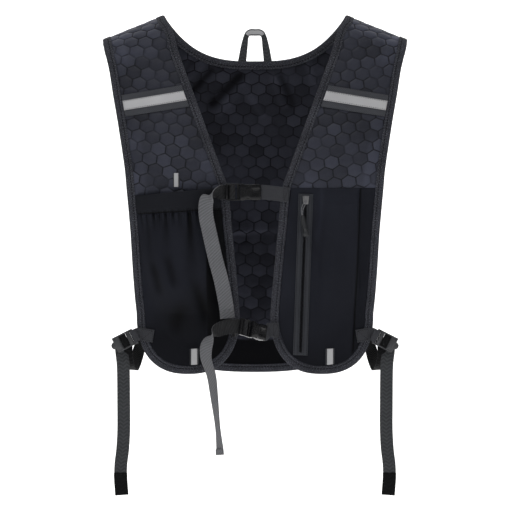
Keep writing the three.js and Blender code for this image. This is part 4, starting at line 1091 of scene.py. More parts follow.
class VEST_OT_back_panel(bpy.types.Operator):
    """Padded honeycomb mesh of the back panel, with its wrinkles"""

    bl_idname = "vest.back_panel"
    bl_label = "Back panel"

    def execute(self, context):
        sizes = context.scene.vest_sizes
        step = sizes.panel_step * 1.3
        downs = np.concatenate([np.linspace(0, 0.06, 30), np.linspace(0.0635, 1, int(0.39 / step))])
        across = np.linspace(-1, 1, int(0.28 / step))
        x, z = back_place(across[None], downs[:, None], EDGE_INSET)
        z = z - (BACK_SEAM_DROP - SEAM_DROP) * (1 - smooth(downs[:, None] / 0.01))
        side = np.ones_like(x)
        uv = turned(laid_out(x, z, -side), 2)
        relief = panel_relief(uv, sizes) * (1 - smooth((-0.373 - z) / 0.004))
        outer = between(BACK_ROWS, "outer", np.minimum(downs, 0.86))[:, None] * SHOULDER_HALF
        inset = np.minimum(outer - np.abs(x), downs[:, None] * BACK_LENGTH + EDGE_INSET)
        shown = smooth((inset - BINDING_WIDTH + 0.001) / 0.003)
        shown = shown * (1 - smooth((downs[:, None] - 0.955) / 0.02))
        folds = back_folds(x, z) * shown
        points, _, _, out = body_frame(x, z, side, 0.0)
        outside = points + out * (WALL / 2 + relief * shown + folds)[..., None]
        inside = points - out * (WALL / 2 + relief * shown - folds)[..., None]
        # Painted shade in the wrinkles' hollows, and a painted highlight on their crests
        shade = np.clip(folds / 0.004, -0.35, 0.7)
        obj = wall("back_panel_mesh", outside, inside, uv, shade)
        put(obj, "back_honeycomb", ["back_panel"])
        grid_sheet(points)
        return {"FINISHED"}


def fold_section(slack):
    """Rounded section of a binding: distance into the panel and height over its middle."""
    slot = WALL / 2 + slack
    top = slot + BINDING_WALL
    stitched = BINDING_WIDTH * STITCH_SHARE
    half = [
        (BINDING_WIDTH, slot + 0.0001),
        (BINDING_WIDTH, top - 0.0002),
        (BINDING_WIDTH - 0.0005, top),
        (stitched + 0.0011, top),
        (stitched, top - 0.0006),
        (stitched - 0.0011, top),
        (0.0035, top + 0.00005),
        (0.0016, top - 0.0001),
        (0.0006, top * 0.78),
        (0.0001, top * 0.45),
    ]
    outside = half + [(a, -b) for a, b in reversed(half)]
    deep, lip = EDGE_INSET - GAP, BINDING_WIDTH - 0.0003
    inside = [(lip, -slot), (deep, -slot), (deep, slot), (lip, slot)]
    return np.array(outside), np.array(inside)


def binding(name, place, side, sign, slack, node, panel, seed):
    """Folded tape along an outline: place gives x and z at distances into the panel."""
    outside, inside = fold_section(slack)
    section = np.concatenate([outside, inside])
    x, z = place(section[None, :, 0])
    count = x.shape[0]
    rng = np.random.default_rng(seed)
    puff = np.convolve(rng.normal(0, 1, count + 8), np.ones(5) / 5, "same")[4:-4] * 0.00012
    lift = np.where(np.arange(len(section)) < len(outside), 1.0, 0.0)
    height = section[None, :, 1] + np.sign(section[None, :, 1]) * puff[:, None] * lift
    side = np.broadcast_to(side[:, None], x.shape)
    points, _, _, _ = body_frame(sign * x, z, side, height)
    middle = points[:, 9]
    along = distances(middle)
    wrapped = distances(section)
    uv = np.stack(np.broadcast_arrays(wrapped[None], along[:, None]), -1)
    obj = folded(name, points, uv)
    put(obj, "binding_knit", [node])
    strip_sheet(obj)
    stitched = BINDING_WIDTH * STITCH_SHARE
    parts = []
    for k, face in enumerate((1, -1)):
        sx, sz = place(np.array([[stitched]]))
        top = WALL / 2 + slack + BINDING_WALL - 0.0005
        p, _, _, out = body_frame(sign * sx, sz, side[:, :1], face * top)
        parts.append(seam(f"{name}_stitches_{k}", p[:, 0], face * out[:, 0]))
    put(joined(f"{name}_stitches", parts), "thread")


def folded(name, points, uv):
    """A closed body along stations of a section that folds back on itself."""
    count, sides = points.shape[:2]
    faces = [loop_faces(count, sides)]
    # Each end is closed between the twenty outer points and the slot's four
    ends = [
        (0, 1, 2, 23), (2, 3, 4, 23), (4, 5, 6, 23), (6, 7, 22, 23), (7, 8, 9, 22),
        (9, 10, 21, 22), (10, 11, 12, 21), (12, 13, 20, 21), (13, 14, 15, 20),
        (15, 16, 17, 20), (17, 18, 19, 20),
    ]
    for start, turn in ((0, 1), ((count - 1) * sides, -1)):
        for end in ends:
            faces.append((np.array([end]) + start)[:, ::-turn])
    return piece(name, points.reshape(-1, 3), np.concatenate(faces), uv.reshape(-1, 2))


class VEST_OT_bindings(bpy.types.Operator):
    """Folded tape round the panels' edges, with its stitching"""

    bl_idname = "vest.bindings"
    bl_label = "Bindings"

    def execute(self, context):
        step = context.scene.vest_sizes.binding_step
        downs, sides = front_stations(step)
        hem = np.linspace(0, 1, int(0.09 / step))[1:-1]
        down = np.concatenate([downs, np.ones(len(hem)), downs[::-1]])
        across = np.concatenate([np.zeros(len(downs)), hem, np.ones(len(downs))])
        side = np.concatenate([sides, -np.ones(len(hem)), sides[::-1]])
        for name, sign in HANDS:
            def place(inset):
                return front_place(across[:, None], down[:, None], inset)

            covers = (f"front_binding_{name}", f"front_panel_{name}")
            binding(f"front_edge_{name}", place, side, sign, BINDING_SLACK, *covers, 5)

        shift = BACK_SEAM_DROP - SEAM_DROP
        downs = np.concatenate([np.linspace(0, 0.06, 14), np.linspace(0.065, 1, int(0.39 / step))])
        hem = np.linspace(-1, 1, int(0.2 / step))[1:-1]
        down = np.concatenate([downs, np.ones(len(hem)), downs[::-1]])
        wide = np.concatenate([-np.ones(len(downs)), hem, np.ones(len(downs))])

        def around(inset):
            x, z = back_place(wide[:, None], down[:, None], inset)
            return x, z - shift * (1 - smooth(down[:, None] / 0.01))

        binding("back_edge", around, np.ones(len(down)), 1, BINDING_SLACK, "back_binding", "back_panel", 7)
        neck = np.linspace(-0.972, 0.972, int(0.25 / step)) * NECK_SHARE
        slope = NECK_ROUNDNESS * (NECK_DEPTH - SEAM_DROP) / PEAK * np.abs(neck / NECK_SHARE) ** 2

        def below(inset):
            lower = inset * np.hypot(1, slope)[:, None] * 0.9
            x, z = back_place(neck[:, None], 0.0, np.full_like(inset, EDGE_INSET))
            return x, z + EDGE_INSET - lower

        binding("neck_edge", below, np.ones(len(neck)), 1, NECK_SLACK, "neck_binding", "back_panel", 9)
        return {"FINISHED"}


# Bands, tags and pockets


def laid_wall(name, sign, x, z, low, high, uv, look, nodes, slot, shade=None):
    """A piece of cloth that lies on a front panel between two heights."""
    inner, _, _, out = body_frame(sign * x, z, -1.0, low)
    outer = inner + out * (high - low)[..., None]
    obj = wall(name, outer, inner, uv, shade)
    put(obj, look, nodes)
    return obj, outer


class VEST_OT_bands(bpy.types.Operator):
    """Reflective bands across the shoulder straps"""

    bl_idname = "vest.bands"
    bl_label = "Reflective bands"

    def execute(self, context):
        for name, sign in HANDS:
            for kind, width, ends, low, thick, look, slot in (
                ("band", BAND_WIDTH, 0.0, PANEL_FACE, WEBBING, "band_webbing", "webbing"),
                ("tape", BAND_TAPE_WIDTH, GAP, PANEL_FACE + WEBBING + GAP, TAPE, "silver", "silver_tape"),
            ):
                share = np.linspace(0, 1, 60)[None]
                over = np.linspace(-0.5, 0.5, 16)[:, None]
                down = (BAND_DOWN - BAND_RISE * (share - 0.5) + over * width) / BODY_LENGTH
                x, z = front_place(np.broadcast_to(share, down.shape), down, COVERED_INSET + ends)
                rounding = 1 - 0.35 * smooth((np.abs(over) - 0.44) / 0.06)
                height = low + thick * np.broadcast_to(rounding, x.shape)
                uv = np.stack([x, over * width + 0 * x], -1)
                cover = (look, [f"reflective_{kind}_{name}"], slot)
                grids = (x, z, low + 0 * x, height, uv)
                obj, outer = laid_wall(f"{kind}_{name}", sign, *grids, *cover)
                if kind == "band":
                    grid_sheet(outer)
            parts = []
            for k, over in enumerate((-0.42, 0.42)):
                share = np.linspace(0.01, 0.99, 60)
                down = (BAND_DOWN - BAND_RISE * (share - 0.5) + over * BAND_TAPE_WIDTH) / BODY_LENGTH
                x, z = front_place(share, down, COVERED_INSET + GAP)
                top = PANEL_FACE + WEBBING + GAP + TAPE
                parts.append(stitch_row(f"band_stitches_{k}", sign * x, z, top, 0.0026, 0.0019, 0.0002))
            put(joined(f"band_stitches_{name}", parts), "silver_thread")
        return {"FINISHED"}


def pocket_rise(across, down):
    side = 1 - np.abs(2 * across - 1) ** 3
    filled = smooth((down - POCKET_TOP / BODY_LENGTH) / 0.25)
    closed = 1 - smooth((down - 0.62 - 0.12 * side) / 0.15)
    return side * mix(POCKET_MOUTH, POCKET_BULGE, filled) * closed


def mouth_edge(across):
    return POCKET_TOP + POCKET_SLANT * (1 - across)


def gather_line(across):
    return mouth_edge(across) + POCKET_BAND - 0.003 * (1 - across)


def gathers(across, down):
    """Folds that hang from the elastic, and soft folds lower down."""
    top = gather_line(across) / BODY_LENGTH
    length = 1 - top
    below = np.maximum(down - top, 0) / length
    total = np.zeros_like(across)
    for place, width, depth, reach, lean in POCKET_GATHERS:
        off = (across - place - lean * below) * 0.105
        wide = 0.01 * width * (0.55 + 1.6 * below / reach) * 0.6
        total += -0.0016 * depth * np.exp(-((off / wide) ** 2)) * np.exp(-((below / reach) ** 1.6))
    turns = across * GATHER_COUNT + 0.35 * np.sin(across * 19.5 + 1) + 0.2 * np.sin(across * 48)
    ruffle = (0.5 + 0.5 * np.cos(2 * math.pi * (turns + 0.4 * below))) ** 1.5 - 0.5
    total += GATHER_DEPTH * (0.75 + 0.25 * np.sin(across * 33)) * ruffle * np.exp(-below / 0.03)
    for place, deep, long, wide, turn, depth in POCKET_FOLDS:
        a = math.radians(turn)
        dx, dy = across - place, (below - deep) * 1.6
        along = (dx * math.cos(a) + dy * math.sin(a)) / long
        off = (dy * math.cos(a) - dx * math.sin(a)) / wide
        total += -0.0014 * depth * np.exp(-(off**2) - along**4)
    return total


class VEST_OT_open_pocket(bpy.types.Operator):
    """Open pocket: elastic band and gathered body"""

    bl_idname = "vest.open_pocket"
    bl_label = "Open pocket"

    def execute(self, context):
        across = np.linspace(0, 1, 150)[None]
        share = np.linspace(0, 1, 26)[:, None]
        down = mix(mouth_edge(across), gather_line(across), share) / BODY_LENGTH
        wide, down = np.broadcast_arrays(across, down)
        x, z = front_place(wide, down, COVERED_INSET)
        pull = smooth((share - 0.76) / 0.24)
        ripple = (0.35 * gathers(wide, down) - 0.0005) * pull
        low = PANEL_FACE + pocket_rise(wide, down)
        thick = BAND_THICKNESS * (1 - 0.3 * smooth((0.06 - share) / 0.06)) + ripple
        uv = np.stack([-x, z], -1)
        # Painted shade along the band's lower edge, where it gathers the pocket
        shade = 0.8 * smooth((share - 0.9) / 0.1) + 0 * wide
        look = ("elastic", ["pocket_elastic_band"], "pocket_cloth", shade)
        obj, outer = laid_wall("pocket_band", -1, x, z, low, low + thick, uv, *look)
        grid_sheet(outer)
        share = np.linspace(0, 1, 210)[:, None]
        down = mix(gather_line(across) / BODY_LENGTH + 0.0007, 1.0, share)
        wide, down = np.broadcast_arrays(across, down)
        x, z = front_place(wide, down, COVERED_INSET)
        rise = pocket_rise(wide, down)
        room = smooth(rise / 0.004) * smooth(share / 0.004 + 0.15)
        folds = gathers(wide, down) * room
        low = PANEL_FACE + np.maximum(rise + folds, 0.0)
        uv = np.stack([-x, z], -1)
        below = (down - POCKET_TOP / BODY_LENGTH) / (1 - POCKET_TOP / BODY_LENGTH)
        # Painted shade in the folds' hollows and a painted highlight on their crests, darker low down and
        # towards the inner side, and a painted shadow on the pocket's steep inner wall by the binding
        shade = np.clip(-folds / 0.0028, -0.3, 0.85)
        shade += 0.55 * smooth((below + 0.25 * wide - 0.62) / 0.22) * (1 - np.clip(shade, 0, 1))
        shade = np.maximum(shade, 0.85 * smooth((0.0575 - x) / 0.003))
        look = ("stretch_cloth", ["pocket_body"], "pocket_cloth", shade)
        obj, outer = laid_wall("pocket_cloth_body", -1, x, z, low, low + CLOTH * 0.9, uv, *look)
        grid_sheet(outer)
        line = np.linspace(0.01, 0.99, 120)
        parts = []
        for k, offset in enumerate((-0.0014, -0.0034)):
            down = (gather_line(line) + offset) / BODY_LENGTH
            x, z = front_place(line, down, COVERED_INSET)
            top = PANEL_FACE + pocket_rise(line, down) + BAND_THICKNESS - 0.0005
            parts.append(stitch_row(f"gather_stitches_{k}", -x, z, top, 0.0026, 0.002, 0.0003, 0.6))
        put(joined("pocket_stitches", parts), "thread")
        return {"FINISHED"}


def zip_rise(x, down):
    inside = smooth((np.abs(x) - ZIP_OFFSET - ZIP_TAPE_WIDTH * 0.7) / 0.012)
    outside = 1 - smooth((np.abs(x) - ZIP_FOLD) / 0.006)
    start = smooth((down - POCKET_TOP / BODY_LENGTH) / 0.05)
    closed = 1 - smooth((down - 0.7) / 0.15)
    return ZIP_RELIEF * inside * outside * start * closed


def zip_place(share):
    return ZIP_OFFSET - ZIP_LEAN * share, WALL / 2 - ZIP_TOP - ZIP_LENGTH * share


class VEST_OT_zip_pocket(bpy.types.Operator):
    """Closed pocket front with its pleat"""

    bl_idname = "vest.zip_pocket"
    bl_label = "Zipped pocket"

    def execute(self, context):
        across = np.linspace(0, 1, 150)[None]
        down = np.linspace(POCKET_TOP / BODY_LENGTH, 1, 220)[:, None]
        wide, down = np.broadcast_arrays(across, down)
        x, z = front_place(wide, down, COVERED_INSET)
        below = (down - POCKET_TOP / BODY_LENGTH) / (1 - POCKET_TOP / BODY_LENGTH)
        pleat_x = mix(0.1225, 0.1125, below)
        pleat = -0.0009 * np.exp(-(((x - pleat_x) / 0.0011) ** 2)) * (1 - smooth((below - 0.86) / 0.1))
        pleat += 0.0007 * smooth((pleat_x - x) / 0.004) * smooth((x - pleat_x + 0.02) / 0.012)
        soft_x = mix(0.0775, 0.0735, below / 0.25)
        soft = 0.0007 * np.exp(-(((x - soft_x) / 0.0028) ** 2)) * (1 - smooth((below - 0.2) / 0.15))
        swell = 0.0004 * np.sin(x * 170 + below * 4) * smooth((x - 0.07) / 0.01)
        low = PANEL_FACE + zip_rise(x, down)
        height = low + CLOTH * 0.85 + (pleat + soft + swell) * smooth(below / 0.02)
        uv = np.stack([x, z], -1)
        # Painted shade in the pleat's crease and a painted highlight along the soft fold, darker beyond the
        # pleat and low down
        shade = 0.9 * np.exp(-(((x - pleat_x) / 0.0011) ** 2)) * (1 - smooth((below - 0.86) / 0.1))
        shade += 0.25 * smooth((x - pleat_x) / 0.002) - soft * 500
        shade += 0.5 * smooth((below - 0.5) / 0.5) * (1 - np.clip(shade, 0, 1))
        look = ("stretch_cloth", ["zip_pocket_front"], "pocket_cloth", shade)
        obj, outer = laid_wall("zip_pocket_cloth", 1, x, z, low, height, uv, *look)
        grid_sheet(outer)
        return {"FINISHED"}


ZIP_FACE = PANEL_FACE + CLOTH + GAP
ZIP_TAPE = 0.001
COIL_FACE = ZIP_FACE + ZIP_TAPE + GAP
COIL_HEIGHT = 0.0016
# Where the coil starts, as a share of the zipper's length
ZIP_START = 0.07
PULL_PART = 0.005
PULL_STRETCH = 1.8
SLIDER_THICKNESS = 0.0024
CORD_RADIUS = 0.00048
# Strands and grip of the pull: across, down and out from the slider in parts of its
# length, and the grip's radii in millimetres
PULL_CORDS = (
    [(-0.05, 0.0, 0.9), (-0.5, 0.3, 1.3), (-0.95, 0.9, 1.2), (-1.05, 1.5, 0.95), (-0.82, 2.1, 0.8)],
    [(0.1, 0.05, 0.9), (-0.15, 0.55, 1.35), (-0.55, 1.0, 1.25), (-0.8, 1.5, 1.0), (-0.76, 2.1, 0.85)],
)
PULL_GRIP = [
    (-0.8, 1.95, 0.8, 0.7),
    (-0.76, 2.1, 0.8, 2.3),
    (-0.66, 2.5, 0.75, 2.7),
    (-0.45, 3.1, 0.7, 2.85),
    (-0.25, 3.7, 0.85, 2.7),
    (-0.12, 4.0, 1.15, 3.4),
    (-0.05, 4.3, 1.25, 4.1),
    (0.02, 4.6, 1.25, 3.6),
    (0.06, 4.78, 1.2, 1.2),
]


class VEST_OT_zipper(bpy.types.Operator):
    """Zipper tape, its coil, slider and corded pull"""

    bl_idname = "vest.zipper"
    bl_label = "Zipper"

    def execute(self, context):
        share = np.linspace(0, 1, 130)
        x, z = zip_place(share)
        p, across, _, _ = body_frame(x, z, -1.0, ZIP_FACE + ZIP_TAPE / 2)
        obj = strap("zipper_cloth_tape", p, across, ZIP_TAPE_WIDTH, ZIP_TAPE)
        put(obj, "zipper_cloth", ["zipper_tape"])
        parts = []
        for k, offset in enumerate((-0.0072, -0.0036, 0.0036, 0.0072)):
            size = (0.0024, 0.0019, 0.00022 if abs(offset) > 0.005 else 0.00016)
            parts.append(stitch_row(f"zip_stitches_{k}", x + offset, z, ZIP_FACE + ZIP_TAPE, *size))
        put(joined("zipper_stitches", parts), "thread")
        self.coil()
        self.slider()
        self.pull()
        return {"FINISHED"}

    def coil(self):
        """Two rows of slanting loops that mesh along the middle."""
        pitch = 0.0015
        count = int(ZIP_LENGTH * 0.91 / pitch)
        share = np.linspace(ZIP_START, 0.98, count)
        x, z = zip_place(share)
        p, across, up, out = body_frame(x, z, -1.0, COIL_FACE)
        rings = [(-0.1, 0.1, 0.25), (0.25, 0.55, 0.75), (0.7, 0.95, 0.95), (1.25, 0.75, 0.75)]
        rings.append((1.6, 0.2, 0.25))
        template = []
        for reach, rise, size in rings:
            for k in range(THREAD_SIDES):
                turn = 2 * math.pi * k / THREAD_SIDES
                wide, high = 0.00052 * size * math.cos(turn), 0.0005 * size * math.sin(turn)
                template.append((reach * 0.0014, wide, rise * 0.0009 + high))
        template = np.array(template)
        parts = []
        for hand, offset in ((1, 0.0), (-1, 0.5)):
            side = across * hand
            start = p + up * (pitch * offset) - side * 0.0003
            axes = (side, up + side * 0.25, out)
            parts.append(repeated(f"coil_{offset}", template, len(rings), start, axes))
        obj = joined("zipper_teeth", parts)
        put(obj, "coil_nylon", ["zipper_coil"])

    def slider(self):
        """Slider body with a raised bridge."""
        x, z = zip_place(ZIP_START * 0.55)
        p, across, up, out = body_frame(x, z, -1.0, COIL_FACE + COIL_HEIGHT + GAP)
        body = block("slider_body", (0.0076, 0.0096, 0.0013), (0, 0, 0.00065), 0.0005, (0.75, 1.0))
        bridge = block("slider_bridge", (0.0026, 0.0062, 0.0011), (0, 0.0002, 0.0017), 0.0004, (1.0, 1.0))
        hub = block("slider_hub", (0.0036, 0.0024, 0.0014), (0, 0.003, 0.0016), 0.0005, (1.0, 1.0))
        obj = joined("zipper_slider", [body, bridge, hub])
        basis = Matrix([list(across), list(up), list(out)]).transposed().to_4x4()
        obj.data.transform(Matrix.Translation(Vector(p)) @ basis)
        put(obj, "slider_metal", ["zip_slider"])

    def pull(self):
        """Cord loop through the slider and the rubber grip that it ends in."""
        x, z = zip_place(ZIP_START * 0.55)
        foot = COIL_FACE + COIL_HEIGHT + GAP + SLIDER_THICKNESS / 2
        p, across, up, out = body_frame(x, z, -1.0, foot)

        def at(rows):
            """Points at lengths across, down and out from the slider."""
            s, d, r = np.array(rows).T[:, :, None]
            flat = (across * s - up * d * PULL_STRETCH) * PULL_PART
            return p + flat + out * (SLIDER_THICKNESS * r + GAP)

        loops = []
        for k, rows in enumerate(PULL_CORDS):
            path = catmull(at(rows), 28)
            loops.append(tube(f"pull_cord_{k}", path, np.full(len(path), CORD_RADIUS), 8))
        path = catmull(at([row[:3] for row in PULL_GRIP]), 40)
        radii = catmull([(row[3] * 0.001, 0, 0) for row in PULL_GRIP], 40, False)[:, 0]
        rubber = tube("pull_grip", path, np.maximum(radii, 0.0002), 16)
        put(rubber, "grip_rubber", ["zip_pull"])
        cord = joined("pull_cord", loops)
        put(cord, "strap_webbing", ())


def tube(name, path, radii, sides):
    """A round body of changing radius along a path."""
    run = headings(path)
    side = unit(np.cross(run, np.array([0.0, 1.0, 0.1])))
    face = np.cross(run, side)
    turn = np.arange(sides) * 2 * math.pi / sides
    ring = side[:, None] * np.cos(turn)[None, :, None] + face[:, None] * np.sin(turn)[None, :, None]
    rings = path[:, None] + ring * radii[:, None, None]
    along = distances(path)
    uv = np.stack(np.broadcast_arrays((turn * 0.0005)[None], along[:, None]), -1)
    return lofted(name, rings, uv)


def block(name, size, middle, bevel, taper):
    """A bevelled block of a size, narrower at its far end by a taper in width."""
    deselect()
    bpy.ops.mesh.primitive_cube_add(size=1, location=middle)
    obj = bpy.context.object
    obj.name = name
    bpy.ops.object.mode_set(mode="EDIT")
    bpy.ops.mesh.select_all(action="SELECT")
    bpy.ops.transform.resize(value=size)
    bpy.ops.mesh.subdivide(number_cuts=2)
    bpy.ops.object.mode_set(mode="OBJECT")
    low, high = taper
    for v in obj.data.vertices:
        share = v.co.y / size[1] + 0.5
        v.co.x *= low + (high - low) * float(smooth(share))
    bevelled(obj, bevel)
    place_in_mesh(obj)
    return obj


def bevelled(obj, width):
    """Rounds the sharp edges of a mesh."""
    deselect()
    obj.select_set(True)
    bpy.context.view_layer.objects.active = obj
    mod = obj.modifiers.new("edges", "BEVEL")
    mod.width = width
    mod.segments = 3
    mod.limit_method = "ANGLE"
    mod.angle_limit = math.radians(35)
    bpy.ops.object.modifier_apply(modifier=mod.name)
    bpy.ops.object.shade_smooth_by_angle(angle=math.radians(40))


def place_in_mesh(obj):
    """Moves an object's place into its mesh."""
    obj.data.transform(obj.matrix_basis)
    obj.matrix_basis = Matrix.Identity(4)


def overlay_strip(x, from_down, to_down, width, low, thick, cover):
    """Grids for a small strip that lies down a front panel at an offset from the middle."""
    down = np.linspace(from_down, to_down, 26)[:, None]
    side = np.linspace(-0.5, 0.5, 9)[None]
    outer, _ = front_place(0.0, down, COVERED_INSET)
    inner, _ = front_place(1.0, down, COVERED_INSET)
    across = (outer - x - side * width) / (outer - inner)
    down = np.broadcast_to(down, across.shape)
    px, pz = front_place(across, down, COVERED_INSET)
    base = low + cover(across, down)
    edge = 1 - 0.4 * smooth((np.abs(side) - 0.4) / 0.1)
    uv = np.stack([side * width + 0 * px, pz], -1)
    return px, pz, base, base + thick * edge, uv


class VEST_OT_tags(bpy.types.Operator):
    """Small tags with silver tape"""

    bl_idname = "vest.tags"
    bl_label = "Tags"

    def execute(self, context):
        hem = FRONT_ROWS["down"][-1]
        over_hem = (mix(hem, 1, 0.43), mix(hem, 1, 0.95))
        over_pocket = ((POCKET_TOP - TAG_HEIGHT) / BODY_LENGTH, (POCKET_TOP - 0.001) / BODY_LENGTH)
        rows = (
            ("upper", -1, 0.0915, 0.72, over_pocket, lambda a, d: 0 * a),
            ("left", -1, 0.0705, 1.0, over_hem, lambda a, d: pocket_rise(a, d) + CLOTH + GAP),
            ("right", 1, 0.087, 1.0, over_hem, lambda a, d: 0 * a + CLOTH + GAP),
        )
        thick = 0.0008
        for name, sign, x, narrow, ends, cover in rows:
            grids = overlay_strip(x, *ends, TAG_WIDTH * narrow, PANEL_FACE, thick, cover)
            laid_wall(f"tag_cloth_{name}", sign, *grids, "tab_webbing", [f"tag_{name}"], "webbing")
            grids = overlay_strip(x, *ends, TAG_TAPE_WIDTH * narrow, PANEL_FACE + thick + GAP, TAPE, cover)
            laid_wall(f"tag_silver_{name}", sign, *grids, "silver", [f"tag_tape_{name}"], "silver_tape")
        return {"FINISHED"}


class VEST_OT_hang_loop(bpy.types.Operator):
    """Hanging loop over the back neckline"""

    bl_idname = "vest.hang_loop"
    bl_label = "Hanging loop"

    def execute(self, context):
        low, high = (np.array(c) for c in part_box("hang_loop"))
        middle = (low[1] + high[1]) / 2
        # The feet go on into the neck's folded tape
        foot, top = low[2] - 0.0035, high[2]
        under = top - 0.0078
        outside = [
            (0.0205, foot), (0.0165, mix(foot, top, 0.5)), (0.0122, top - 0.0062),
            (0.0088, top - 0.0018), (0.0052, top), (0.0, top),
        ]
        within = [
            (0.0104, foot), (0.0092, mix(foot, under, 0.5)), (0.0083, under - 0.003),
            (0.0075, under - 0.0007), (0.005, under), (0.0, under),
        ]
        outer, inner = (
            catmull([(-x, 0, z) for x, z in side] + [(x, 0, z) for x, z in side[-2::-1]], 120)
            for side in (outside, within)
        )
        centre, across = (outer + inner) / 2, unit(outer - inner)
        centre[:, 1] = middle
        width = np.linalg.norm(outer - inner, axis=1)
        obj = strap("neck_loop", centre, across, 1.0, WEBBING, width)
        put(obj, "side_webbing", ["hang_loop"])
        low, high = (np.array(c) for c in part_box("hang_loop_tape"))
        near = np.abs(centre[:, 0]) < high[0]
        near &= centre[:, 2] > under - 0.004
        p = centre[near]
        p[:, 1] = (low[1] + high[1]) / 2
        tape = strap("neck_loop_silver", p, across[near], 1.0, TAPE, width[near] * 0.62)
        put(tape, "silver", ["hang_loop_tape"])
        return {"FINISHED"}


# Chest straps and buckles

# Mesh steps along a strap's free end, and along the fold at its tip
CHEST_TAIL_STEPS = 170
CHEST_FOLD_STEPS = 14
CHEST = (
    {"name": "upper", "down": 0.206, "start": -0.034, "lean": 0, "sink": 0, "lift": 0.0,
     "anchor": 0.005, "tail": UPPER_TAIL, "slope": 0.003},
    {"name": "lower", "down": 0.366, "start": -0.0185, "lean": 45, "sink": 12, "lift": 0.006,
     "anchor": 0.001, "tail": LOWER_TAIL, "slope": 0.001},
)


def buckle_place(row):
    """Origin and directions of a chest buckle: x along the strap, z across it."""
    z = WALL / 2 - row["down"]
    inner, _ = front_place(1.0, row["down"] / BODY_LENGTH, 0.0)
    inner = float(inner)
    face = float(-depth_at(drop_at(inner, z), -1.0) * wrap_at(inner)) - STRAP_FACE
    lean, sink = math.radians(row["lean"]), math.radians(row["sink"])
    along = np.array([math.cos(lean) * math.cos(sink), math.sin(lean) * math.cos(sink), -math.sin(sink)])
    up = np.array([0.0, 0, 1])
    up = unit(up - (up @ along) * along)
    deep = np.cross(up, along)
    clear = WEBBING * 2 + GAP * 3 + row["lift"]
    reach = (LADDER_LENGTH + SOCKET_LENGTH) * along[1]
    origin = np.array([row["start"], face - clear - reach, z + row["sink"] * 0.00035])
    return origin, along, deep, up, inner, z


def local_points(origin, along, deep, rows):
    return np.array([origin + along * x + deep * y for x, y in rows])


class VEST_OT_chest_straps(bpy.types.Operator):
    """Chest straps through their ladders, with their free ends and tabs"""

    bl_idname = "vest.chest_straps"
    bl_label = "Chest straps"

    def execute(self, context):
        for row in CHEST:
            origin, along, deep, up, inner, z = buckle_place(row)
            first, middle = LADDER_BAR, LADDER_BAR + LADDER_SLOT
            second = middle + LADDER_BAR
            lower = GAP * 2 + WEBBING * 1.5
            upper = GAP + WEBBING / 2
            over = -(LADDER_THICKNESS + GAP * 2 + WEBBING / 2)
            rise = second + GAP * 2 + WEBBING / 2
            sink = middle - GAP * 2 - WEBBING / 2
            wrap = [
                (-row["anchor"], lower), (first, lower), (rise - 0.0014, lower), (rise, lower - 0.0014),
                (rise, over + 0.0012), (rise - 0.0012, over), (sink + 0.0012, over), (sink, over + 0.0012),
                (sink, upper - 0.001), (sink - 0.001, upper), (0, upper),
            ]
            wrapped = local_points(origin, along, deep, wrap)
            feet, lean = [], []
            for share in (0.78, 0.4):
                x = inner + BINDING_WIDTH * share
                p, _, u, _ = body_frame(-x, z, -1.0, STRAP_FACE + 2 * GAP + WEBBING / 2)
                feet.append(p)
                lean.append(u)
            points = np.concatenate([feet, wrapped])
            across = np.concatenate([lean, np.tile(up, (len(wrapped), 1))])
            points, across = cornered(points, across)
            tail = [wrapped[-1]]
            turn = [up]
            for left, forward, down, side, ahead, high in row["tail"]:
                tail.append(wrapped[-1] + np.array([-left, -forward, -down]) * CHEST_WEBBING)
                turn.append(np.array([side, -ahead, high]))
            tail, turn = eased(tail, unit(np.array(turn)), CHEST_TAIL_STEPS)
            points = np.concatenate([points, tail[1:]])
            across = np.concatenate([across, turn[1:]])
            name = row["name"]
            # Both faces up to the free end are drawn dark, partly painted shade where the strap wraps the
            # ladder and curls out
            plain = len(points) - CHEST_TAIL_STEPS
            obj = strap(f"chest_webbing_{name}", points, across, CHEST_WEBBING, WEBBING, plain=plain)
            obj = joined(f"chest_webbing_{name}", [obj, self.end_fold(points, across)])
            put(obj, "strap_webbing", [f"chest_strap_{name}"])
            strip_sheet(obj)
            self.tab(row, origin, along, deep, up, inner, z)
        return {"FINISHED"}

    def end_fold(self, points, across):
        """The last stretch of a strap, turned over and double."""
        run = unit(points[-1] - points[-2])
        face = unit(np.cross(run, across[-1]))
        face = face * (1 if face[1] < 0 else -1)
        doubled = points[-CHEST_FOLD_STEPS:] + face * (WEBBING * 0.95)
        doubled = np.concatenate([doubled[:1] + face * -0.0004 - run * 0.001, doubled])
        turn = across[-CHEST_FOLD_STEPS:]
        turn = np.concatenate([turn[:1], turn])
        return strap("strap_end", doubled, turn, CHEST_WEBBING * 0.985, WEBBING * 0.8)

    def tab(self, row, origin, along, deep, up, inner, z):
        """Tab that holds the socket to the right panel."""
        reach = LADDER_LENGTH + SOCKET_LENGTH + GAP
        end = local_points(origin, along, deep, [(reach, -LADDER_THICKNESS / 2)])[0]
        thick = WEBBING * 1.6
        points, across = [end, end + along * thick * 1.3], [up, up]
        for share in np.linspace(0, 1, 9):
            x = mix(inner - 0.003, inner + BINDING_WIDTH - 0.001, share)
            tz = z - row["slope"] * (x - end[0]) / CHEST_TAB
            p, _, u, _ = body_frame(x, tz, -1.0, STRAP_FACE + 2 * GAP + thick / 2)
            points.append(p)
            across.append(u)
        points, across = cornered(points, across, 2)
        name = row["name"]
        obj = strap(f"chest_tab_webbing_{name}", points, across, CHEST_WEBBING, thick)
        put(obj, "tab_webbing", [f"chest_tab_{name}"])
        strip_sheet(obj)
        low, high = inner + BINDING_WIDTH * 0.25, inner + BINDING_WIDTH * 0.8

        def place(long, wide):
            x = mix(low, high, long)
            return x, z - row["slope"] * (x - end[0]) / CHEST_TAB + wide * CHEST_WEBBING

        square = stitched_square(f"chest_tab_stitches_{name}", place, STRAP_FACE + 2 * GAP + thick)
        put(square, "thread")


